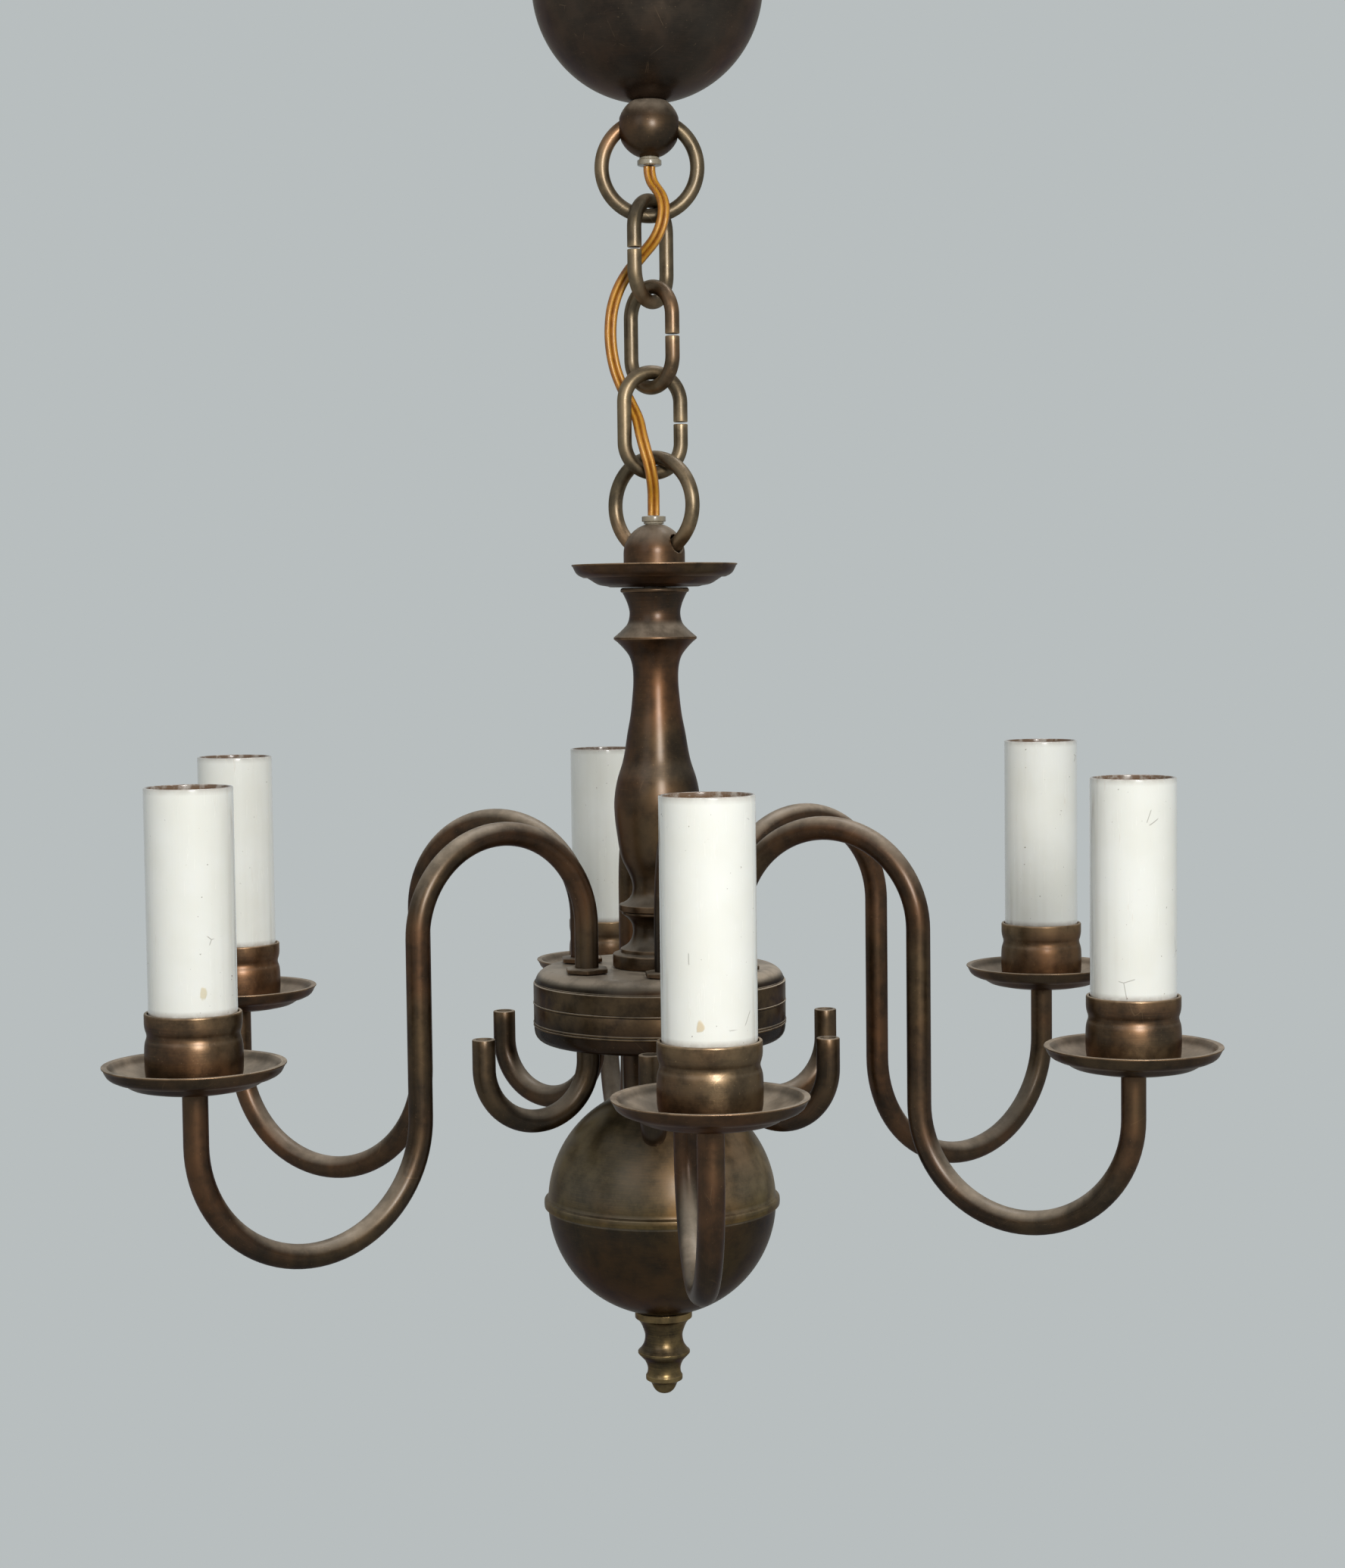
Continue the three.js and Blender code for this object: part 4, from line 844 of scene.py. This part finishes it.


# Cord: flat twin flex from bush to bush, in six lengths

CORD_WIDTH = 5
CORD_THICK = 2.6
CORD_LENGTHS = 30.0  # of each declared length; the rest is a short tail into the lower bush
CORD_STEP = 0.75
LAY_ALONG = 1.6  # how fast the pattern of the strands goes on along the flex, and across it
LAY_ACROSS = 1.3
FLEX_SHARP_EDGE = math.radians(70)
CORD_ROUTE = [
    (0, 0, -79.59), (0, 0, -81.59),
    (0.9, -1, -85.7), (4.5, -5.1, -92.1), (5.5, -7.3, -97), (4.8, -8.3, -102.9),
    (2.1, -7, -109.1), (-4, -2.2, -116), (-9, 1.4, -121.5), (-13, 3.2, -128),
    (-15.6, 3.8, -135.5), (-16.6, 3.8, -143.5), (-16.4, 3.8, -151.5), (-14.9, 3.8, -160),
    (-12.2, 3.4, -167.5), (-8.8, 1.6, -174.5), (-6, -1.8, -181), (-4.6, -5.8, -187.5),
    (-3, -7.9, -194), (-1.5, -7.7, -199.8), (-0.5, -5.9, -205), (0, -2.1, -210.8),
    (0, -0.6, -214.5), (0, 0, -217.9), (0, 0, -219.9),
]


def even_line(knots, gap):
    """Points an even distance apart on the smooth line through the knots, and its length."""
    fine = flowing(knots, 0.1)
    runs = runs_along(fine)
    count = round(runs[-1] / gap)
    points = []
    index = 0
    for step in range(count + 1):
        want = runs[-1] * step / count
        while index < len(runs) - 2 and runs[index + 1] < want:
            index += 1
        share = (want - runs[index]) / (runs[index + 1] - runs[index])
        points.append(fine[index].lerp(fine[index + 1], share))
    return points, runs[-1]


def flex_section(steps=48):
    """The flex's section: two round cores in one skin. Each point has its place and, from 0 to 1,
    how near it lies to a core."""
    lobe = CORD_THICK / 2
    offset = CORD_WIDTH / 2 - lobe
    section = []
    for _, cos, sin in circle(steps):
        reach = max(
            m * cos + math.sqrt(max(lobe**2 - (m * sin) ** 2, 0))
            for m in (-offset, offset)
            if abs(m * sin) <= lobe
        )
        x, y = reach * cos, reach * sin
        section.append((x, y, max(0, 1 - abs(abs(x) - offset) / (0.75 * lobe))))
    return section


def flex(part, frames, first_run, step_length):
    """One length of the flex, and the path it takes."""
    section = flex_section()
    rings = [[(point + side * x + up * y, Vector()) for x, y, _ in section] for point, side, up in frames]
    name = f"flex_{part + 1}"
    mesh = mesh_of(name, Shape().skin(rings, looped=False))
    write(mesh, "core", [core for _ in frames for _, _, core in section])
    lay = []
    for row in range(len(frames)):
        run = first_run + row * step_length
        for x, y, _ in section:
            lay += [run * LAY_ALONG + x * (LAY_ACROSS if y > 0 else -LAY_ACROSS), x, 0]
    write(mesh, "lay", lay, vectors=True)
    mesh.materials.append(FLEX)
    mesh.shade_smooth()
    mesh.set_sharp_from_angle(angle=FLEX_SHARP_EDGE)
    piece = add_object(name, mesh)
    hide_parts("supply_cord")
    path = [point * MM for point, _, _ in frames]
    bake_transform(piece)
    return piece, path


def cord():
    points, total = even_line(CORD_ROUTE, CORD_STEP)
    step_length = total / (len(points) - 1)
    frames = []
    side = Vector((0.94, 0.34, 0)).normalized()  # the way across the flex at its upper end
    for before, point, after in zip([points[0], *points], points, [*points[1:], points[-1]]):
        ahead = (after - before).normalized()
        side = (side - ahead * side.dot(ahead)).normalized()
        frames.append((point, side, ahead.cross(side)))
    starts = [round(CORD_LENGTHS * part / step_length) for part in range(6)] + [len(points) - 1]
    pieces = []
    for part, (start, end) in enumerate(zip(starts, starts[1:])):
        pieces.append(flex(part, frames[start:end + 1], start * step_length, step_length))
    tail, _ = pieces.pop()


# Column

TURNING_ZERO = -260  # the measured heights of the baluster and its foot are from here
BALL_RADIUS = 47
ARM_TURN = 4.4
ARM_CIRCLE = 35.5
HOOK_TURN = -3
HOOK_CIRCLE = 33


def dish_outline(bottom, bore):
    """A stamped dish: a flat lip round a shallow hollow, and a small step outside."""
    line = Outline(bottom, (bore, 0), (18.2, 0, 1.0), (19.1, 0.3))
    line.curve((22.9, 1.1), (25.8, 2.8), (27.05, 3.6))
    line.corners((27.6, 4.0, 0.25), (29, 3.9, 0.3), (30.7, 4.7))
    line.curve((31.8, 5.6), (32.6, 6.9), (33.3, 8.4))
    line.corners((33.8, 8.8, 0.25), (33.75, 9.3, 0.3), (31.7, 9.15, 0.4), (31.0, 8.3))
    line.curve((29.5, 6.3), (26.5, 4.7), (22, 2.7), (17, 1.35), (14, SHEET)).corners((bore, SHEET))
    return line


def top_dish():
    make("column_dish", dish_outline(bottom_of("top_dish"), ROD_HOLE).turned(128), "top_dish")


def baluster():
    top, bottom = top_of("baluster") - TURNING_ZERO, bottom_of("baluster") - TURNING_ZERO
    line = Outline(TURNING_ZERO, (ROD_HOLE, top), (13.4, top, 0.5), (14, top - 0.8, 0.4), (13.9, 9.2, 0.3),
                   (13.2, 8.9))
    line.curve((12.3, 7.2), (11, 4), (10.35, 0.5), (11.2, -3.5), (13.2, -5.9), (15.6, -8.1))
    line.corners((16.95, -9.2, 0.4), (16.95, -10.0, 0.4), (15.4, -11.2))
    line.curve((13.1, -13.6), (10.7, -16.9), (9.5, -21), (9.2, -27), (9.7, -34), (10.5, -41), (11.8, -48),
               (13.7, -59), (16.4, -68), (17.6, -76), (17.5, -82), (16.6, -90), (14.9, -99.5),
               (12.6, -104.5), (11.1, -108), (10.45, -111.6), (11, -114.4), (12.6, -116.6), (14.8, -118))
    line.corners((16.2, -118.4, 0.4), (16.4, bottom, 0.5), (ROD_HOLE, bottom))
    make("turned_baluster", line.turned(), "baluster")


def foot():
    top, bottom = top_of("baluster_foot") - TURNING_ZERO, bottom_of("baluster_foot") - TURNING_ZERO
    line = Outline(TURNING_ZERO, (ROD_HOLE, top), (15.2, top, 0.4), (15.0, -122.3, 0.3), (14.0, -123))
    line.curve((12.5, -124.3), (11.1, -126.5), (10.6, -128.9), (10.75, -131), (11.6, -133.2), (13, -134.9),
               (14.8, -136.1))
    line.corners((15.8, -136.6, 0.3), (15.9, -138.1, 0.2), (19, -138.5, 0.8), (19, bottom, 0.5),
                 (ROD_HOLE, bottom))
    make("turned_foot", line.turned(), "baluster_foot")


def drum():
    top, bottom = top_of("drum_cover"), bottom_of("drum_base")
    seam_top, seam_bottom = bottom_of("drum_cover"), top_of("drum_base") - bottom
    side, groove, bead = 51.75, -409.8, -418.2
    shoulder = (44.9, top - 6.2)
    line = Outline(0, (ROD_HOLE, top - 1.2), (ROD_HOLE, top), (44.9, top)).arc(shoulder, 6.2, 88, 6, 14)
    line.corners((51.2, groove + 0.5), (51.15, groove, 0.15), (side, groove - 0.25, 0.25),
                 (side, bead + 0.75), (51.6, bead + 0.45, 0.15), (51.95, bead + 0.2, 0.2),
                 (51.95, bead - 0.2, 0.2), (51.6, bead - 0.45, 0.15), (side, bead - 0.75),
                 (51.7, seam_top + 0.9, 0.2), (52, seam_top + 0.5, 0.25), (51.9, seam_top, 0.25),
                 (50.6, seam_top), (50.6, groove))
    line.arc(shoulder, 5, 0, 90, 8)
    # Both drum pieces take the darker bronze, which is painted shade
    make("drum_top", line.turned(144), "drum_cover", [DRUM_PAINTED_SHADE_BRONZE],
         cutters=holes_round(ARM_TURN, ARM_CIRCLE, 5.15, top))
    line = Outline(bottom, (ROD_HOLE, 1.2), (ROD_HOLE, 0), (46.9, 0)).arc((46.9, 4.6), 4.6, -88, -6, 12)
    line.corners((51.6, 4.9), (51.6, seam_bottom - 0.8, 0.2), (51.95, seam_bottom - 0.5, 0.2),
                 (51.9, seam_bottom, 0.25), (50.4, seam_bottom), (50.4, 4.6))
    line.arc((46.9, 4.7), 3.5, 0, -90, 6)
    make("drum_bottom", line.turned(144), "drum_base", [DRUM_PAINTED_SHADE_BRONZE],
         cutters=holes_round(HOOK_TURN, HOOK_CIRCLE, 5.05, bottom))


def plan_angle(turn):
    """Arms and hooks are counted from straight ahead, -Y, turning to the right."""
    return math.radians(turn - 90)


def holes_round(first_turn, ring, radius, level):
    """Cutters for six holes round the drum, the first one at this turn from straight ahead."""
    angles = [plan_angle(first_turn + 60 * index) for index in range(6)]
    places = [upright(ring * math.cos(angle), ring * math.sin(angle), level) for angle in angles]
    return [plug(radius, -3, 3, 36, place) for place in places]


def stem():
    top, bottom = top_of("drum_stem"), bottom_of("drum_stem")
    outline = rounded([(14.4, bottom, 0.2), (15.6, bottom, 0.4), (15.6, top, 0.3), (14.4, top, 0.2)])
    make("stem_tube", Shape().turn(divided(outline, 8), 72), "drum_stem")


def ball():
    """Two spun halves; the upper one's rolled bead laps over the seam."""
    seam_top, seam_bottom = bottom_of("ball_upper_half"), top_of("ball_lower_half")
    radius, inside, bead = BALL_RADIUS, BALL_RADIUS - 1.2, BALL_RADIUS + 1.6
    bead_height = 3.4
    middle = seam_top - SEAT_GAP / 2 + bead_height / 2
    low = seam_top - middle
    high = low + bead_height
    line = Outline(middle, (inside, low), (bead - 0.1, low, 0.25), (bead, low + 1.6, 1.0),
                   (bead - 0.1, high - 0.3, 0.7), (on_ball(radius, high) + 0.15, high + 0.35, 0.5),
                   (on_ball(radius, high + 1.4), high + 1.4))
    line.arc((0, 0), radius, rise_angle(radius, high + 1.8), ball_angle(radius, ROD_HOLE), 60)
    line.arc((0, 0), inside, ball_angle(inside, ROD_HOLE), 0, 40)
    # The upper shell's lighter bronze is painted light, and the lower shell's darker bronze is painted shade
    make("ball_upper_shell", line.turned(144), "ball_upper_half", [BALL_TOP_PAINTED_LIGHT_BRONZE])
    edge = seam_bottom - middle
    line = Outline(middle).arc((0, 0), radius, rise_angle(radius, edge), -ball_angle(radius, ROD_HOLE), 64)
    line.arc((0, 0), inside, -ball_angle(inside, ROD_HOLE), rise_angle(inside, edge), 40)
    make("ball_lower_shell", line.turned(144), "ball_lower_half", [BALL_LOW_PAINTED_SHADE_BRONZE])


def finial():
    """The turned end piece; its dished top follows the ball."""
    top = top_of("finial")
    tip = bottom_of("finial") - top
    seat = BALL_RADIUS + SEAT_GAP
    line = Outline(top, (0, -15), (ROD_HOLE, -15))
    line.arc((0, on_ball(seat, ROD_HOLE)), seat, -ball_angle(seat, ROD_HOLE), -ball_angle(seat, 11.5), 6)
    line.corners((11.85, 0.7, 0.3), (11.8, -1.9, 0.4), (10.9, -2.3))
    line.curve((9.6, -4), (8.6, -6.2), (7.8, -8.9), (7.9, -11.2), (8.5, -13.2), (9.7, -15))
    line.corners((10.75, -16, 0.3), (10.75, -16.8, 0.3), (9.7, -18))
    line.curve((8, -19.9), (7, -22.1), (6.8, -24), (7.1, -25.5))
    line.corners((7.6, -26.2, 0.5), (7.6, -27.9, 0.5), (6.5, -28.5))
    line.curve((5.5, -29.3), (4.9, -30.6), (4.2, -31.9), (2.9, -33.2), (1.3, tip + 0.25), (0, tip), gap=0.5)
    make("turned_finial", line.turned(72), "finial", [FINIAL_BRONZE])


def rod():
    """The hollow rod; its top end is threaded, at a pitch of 1."""
    top, bottom = top_of("column_rod"), bottom_of("column_rod")

    def thread(angle, point):
        return 0 if point.x < 4 else -0.2 + 0.2 * math.cos(2 * math.pi * point.y + angle)

    steps = 24
    turns = [(ROD_RADIUS, top - 0.6 - 2.75 * step / steps) for step in range(steps)]
    outline = rounded([(ROD_BORE, top), (ROD_RADIUS, top), *turns, (ROD_RADIUS, bottom), (ROD_BORE, bottom)],
                      closed=False)
    shape = Shape().turn(outline, 40, thread=thread)
    make("threaded_tube", shape, "column_rod", [STEEL])


# Arms, hooks and candles

ARM_TUBE = 4.75
ARM_BORE = 3.2
ARM_RISE = 25.7
ARCH_RADIUS = 39
ARM_DROP = 68.9
BOWL_RADIUS = 46
ARM_END = 20.8
ARM_BENDS = [(0, -0.5, 1), (-1.5, -5, -2), (-1.3, 2.5, 2.5), (3, 0, -3), (0, 0.5, 1), (0.2, 3, 0.5)]
BORE_DEPTH = 14
HOOK_TUBE = 4.65
HOOK_RADIUS = 23
CUP_BORE = 4.6
CUP_HEIGHT = 27.2
CUP_SOCKET = 18.3
SLEEVE_RADIUS = 16.3
SLEEVE_BORE = 15.2
SLEEVE_LENGTH = 100.6
SLEEVE_FOOT = CUP_HEIGHT - CUP_SOCKET + SEAT_GAP
SLEEVE_TOP = SLEEVE_FOOT + SLEEVE_LENGTH
RUNS = {  # material, turn about the sleeve from the viewer, height over the cup, half width, length
    1: (IVORY_BROWN_RUN, -12, 6.6, 1.7, 5.4),
    6: (IVORY_PALE_RUN, 23, 8.5, 1.6, 6.4),
}


def arm_line(reach, lift):
    line = BentLine(0, top_of("drum_cover") - 6, 90).straight(ARM_RISE, 5)
    line.bend(ARCH_RADIUS, -180).straight(ARM_DROP, 8)
    return line.bend(BOWL_RADIUS + reach / 2, 180).straight(ARM_END + lift, 4)


def arm_place(index):
    seat = plan_angle(ARM_TURN + 60 * index)
    place = upright(ARM_CIRCLE * math.cos(seat), ARM_CIRCLE * math.sin(seat))
    return place @ Matrix.Rotation(seat + math.radians(ARM_BENDS[index][0]), 4, "Z")


def open_end(outer, inner):
    """The lip at an open end of a tube, and its bore, which is closed deeper than one can look."""
    middle, sideways, upwards, radius = outer[0]
    way = (outer[1][0] - middle).normalized()
    bore = []
    for station, run in zip(inner[1:], runs_along([station[0] for station in inner])[1:]):
        bore.append(station)
        if run > BORE_DEPTH:
            break
    lip = ((0, inner[0][3]), (0, radius - 0.45), (0.12, radius - 0.16), (0.45, radius))
    return bore[::-1] + [(middle + way * inset, sideways, upwards, size) for inset, size in lip]


def hollow_tube(points, radius, bore, place):
    outer, inner = line_stations(points, radius, place), line_stations(points, bore, place)
    return [*open_end(outer, inner), *outer[1:-1], *open_end(outer[::-1], inner[::-1])[::-1]]


def arm(index):
    number = index + 1
    _, reach, lift = ARM_BENDS[index]
    place = arm_place(index)
    line = arm_line(reach, lift)
    tip_x, tip_z, _ = line.points[-1]
    shape = Shape().sweep(hollow_tube(line.points, ARM_TUBE, ARM_BORE, place), 40)
    drum_top = top_of("drum_cover")
    shape.nut(9.3, drum_top + SEAT_GAP, drum_top + 2.5, ARM_TUBE - 0.1, place, chamfer=0.35)
    shape.nut(7.6, drum_top - 4.5, drum_top - 1.5, ARM_TUBE - 0.1, place)
    nipple = rounded([(2.9, tip_z - 1), (4.2, tip_z - 1), (4.2, tip_z + 10.9, 0.4), (2.9, tip_z + 10.9)])
    shape.turn(nipple, 32, place @ upright(tip_x))
    make(f"arm_tube_{number}", shape, f"arm_{number}")
    candle(number, place @ upright(tip_x, 0, tip_z + SEAT_GAP))


def candle(number, place):
    make(f"saucer_{number}", dish_outline(0, CUP_BORE).turned(96, place), f"drip_saucer_{number}")
    place = place @ upright(z=SHEET + SEAT_GAP)
    line = Outline(0, (CUP_BORE, 0), (13.6, 0, 0.8), (14.6, 0.3))
    line.curve((16.3, 1.2), (17.4, 2.9), (17.9, 5.4), (18.05, 9), (18.05, 12.5), (17.9, 15.2), (17.65, 16.6),
               (17.25, 17.8), (17.05, 18.7), (17.1, 19.5), (17.45, 20.6), (17.75, 21.9), (17.9, 23.4))
    line.corners((17.9, 26.6, 0.3), (17.7, CUP_HEIGHT, 0.3), (16.7, CUP_HEIGHT, 0.3), (16.7, 8.9),
                 (14.1, 8.9, 0.3), (13.6, SHEET), (CUP_BORE, SHEET))
    # The cup takes the lighter bronze, which is painted light
    make(f"cup_{number}", line.turned(80, place), f"candle_cup_{number}", [CUP_PAINTED_LIGHT_BRONZE])
    sleeve(number, place)
    holder(number, place)


def glue(point, turn, low, half, length):
    """How thick a run of glue lies at this point of the sleeve, from 0 to 1."""
    across = (math.atan2(point.x, -point.y) - math.radians(turn)) * SLEEVE_RADIUS / half
    along = (point.z - CUP_HEIGHT - low) / (length / 2)
    return max(0, 1 - across**2 - along**2)


def sleeve(number, place):
    """The ivory sleeve, painted dark inside as shade, browned at its top rim, darker just above the cup, and
    on two of them a run of old glue.
    """
    corners = rounded([(SLEEVE_BORE, SLEEVE_FOOT, 0.2), (SLEEVE_RADIUS, SLEEVE_FOOT, 0.2),
                       (SLEEVE_RADIUS, SLEEVE_TOP, 0.45), (SLEEVE_BORE, SLEEVE_TOP, 0.45)])
    material, *run = RUNS.get(number, [IVORY])
    shape = Shape().turn(divided(corners, 50), 80, place)
    piece = make(f"sleeve_{number}", shape, f"candle_sleeve_{number}", [material], f"candle_{number}")
    browning_and_inner_shade, drip = [], []
    for vertex in piece.data.vertices:
        point = vertex.co / MM - place.translation
        # The whole inside gets painted shade; the top rim is browned and the band just above the cup
        # darkened
        inside = math.hypot(point.x, point.y) < (SLEEVE_RADIUS + SLEEVE_BORE) / 2
        rim = 0.7 * max(0, 1 - (SLEEVE_TOP - point.z) / 0.8)
        end = 0.5 * max(0, 1 - (point.z - CUP_HEIGHT) / 2)
        browning_and_inner_shade.append(1 if inside else min(1, max(rim, end)))
        drip.append(glue(point, *run) if run and not inside else 0)
    write(piece.data, "browning_and_inner_shade", browning_and_inner_shade)
    write(piece.data, "drip", drip)


def holder(number, place):
    """A plastic lampholder with a threaded brass liner and a contact at its bottom."""
    top = SLEEVE_TOP - 5
    low = SHEET + SEAT_GAP
    body = rounded([(4.6, low), (7, low, 0.4), (7, top - 50.6, 0.6), (11.6, top - 50, 1.2),
                    (12.8, top - 47, 1.2), (12.8, top - 22, 0.3), (12.2, top - 21.5, 0.2),
                    (12.2, top - 20.5, 0.2), (12.8, top - 20, 0.3), (12.8, top - 1.2, 0.8), (11.8, top, 0.8),
                    (8.3, top, 0.5), (8.3, top - 29.6), (2.3, top - 30), (2.3, low + 10), (4.6, low + 10)])
    pitch = 2.8

    def thread(angle, point):
        return 0.28 * math.cos(2 * math.pi * point.y / pitch - angle) if 7.3 < point.x < 7.8 else 0

    steps = 80
    turns = [(7.5, -23 * step / steps) for step in range(1, steps)]
    liner = Outline(top - 1.5, (8.1, 0), (7.6, 0), *turns, (7.6, -23), (8.1, -23))
    contact = Outline(top, (0, -29.9), (3.2, -29.9), (3.2, -28.9, 0.3), (1.5, -27.6, 0.8), (0, -27.3))
    shape = liner.turned(48, place, 1, thread, shape=Shape().turn(body, 64, place))
    contact.turned(32, place, 1, shape=shape)
    make(f"holder_{number}", shape, f"lampholder_{number}", [HOLDER, LINER])


def hook(index):
    number = index + 1
    bottom = bottom_of("drum_base")
    place = Matrix.Rotation(plan_angle(HOOK_TURN + 60 * index), 4, "Z")
    line = BentLine(HOOK_CIRCLE, bottom + 2.7, -90).straight(8.7, 3).bend(HOOK_RADIUS, 180).straight(12, 3)
    shape = Shape().sweep(hollow_tube(line.points, HOOK_TUBE, 3.3, place), 40)
    collar = [(4.6, bottom - 0.3), (7, bottom - 0.3, 0.3), (7, bottom - 1.9, 0.6), (4.6, bottom - 2.3)]
    shape.turn(rounded(collar), 40, place @ upright(HOOK_CIRCLE))
    make(f"hook_tube_{number}", shape, f"scroll_hook_{number}")


# Studio

BACKDROP = (0.48, 0.515, 0.52)
FLOOR_LEVEL = -1.45


def pale_floor():
    """Pale floor: near the object it takes shadow, and far off it fades into the backdrop."""
    g = material_graph("pale_floor")
    place = g.add("SeparateXYZ", {0: g.object_place()}).outputs
    reach = g.math("SQRT", g.math("ADD", g.math("POWER", place[0], 2.0), g.math("POWER", place[1], 2.0)))
    share = g.math("MULTIPLY", g.seen(), g.ramp(reach, 0.7, 1.9))
    matt = g.add("BsdfDiffuse", {"Color": (*BACKDROP, 1)})
    glow = g.add("Emission", {"Color": (*BACKDROP, 1), "Strength": 1.0})
    mixed = g.add("MixShader", {0: share, 1: matt.outputs[0], 2: glow.outputs[0]})
    g.add("OutputMaterial", {"Surface": mixed.outputs[0]})
    return g.owner


def studio():
    """The floor, and a world that lights more softly than the even backdrop that it shows."""
    mesh = bpy.data.meshes.new("studio_floor")
    corners = [(x, y, FLOOR_LEVEL) for x, y in ((-30, -30), (30, -30), (30, 30), (-30, 30))]
    mesh.from_pydata(corners, [], [(0, 1, 2, 3)])
    mesh.materials.append(pale_floor())
    add_object("studio_floor", mesh)
    world = bpy.data.worlds.new("studio")
    bpy.context.scene.world = world
    g = Graph(world)
    shown = g.add("Background", {"Color": (*BACKDROP, 1)})
    light = g.add("Background", {"Color": (0.97, 0.99, 1, 1), "Strength": 0.36})
    mixed = g.add("MixShader", {0: g.seen(), 1: light.outputs[0], 2: shown.outputs[0]})
    g.add("OutputWorld", {"Surface": mixed.outputs[0]})


def lamp(name, place, target, size, power, colour=(1, 1, 1)):
    data = bpy.data.lights.new(name, "AREA")
    data.shape = "DISK"
    data.size = size
    data.energy = power
    data.color = colour
    light = add_object(name, data)
    light.location = place
    light.rotation_euler = (Vector(target) - Vector(place)).to_track_quat("-Z", "Y").to_euler()


studio()
lamp("key", (0.3, -1.35, 0.08), (0, 0, -0.3), 0.4, 16, (1, 0.985, 0.96))
lamp("fill", (-0.9, -1.2, 0.4), (0, 0, -0.3), 0.9, 2.5)
lamp("top", (0.2, 0.3, 1.1), (0, 0, -0.3), 1.0, 11)

cord()
ceiling_strap()
canopy()
canopy_nut()
terminal_block()
upper_loop()
cord_bush("upper_cord_bush", "ceiling_mount", -1)
for ring in RING_TURNS:
    chain_ring(ring)
for link in range(3):
    chain_link(link)
cord_bush("lower_cord_bush", "frame", 1)
lower_loop()
top_dish()
baluster()
foot()
drum()
stem()
ball()
finial()
rod()
for branch in range(6):
    arm(branch)
    hook(branch)
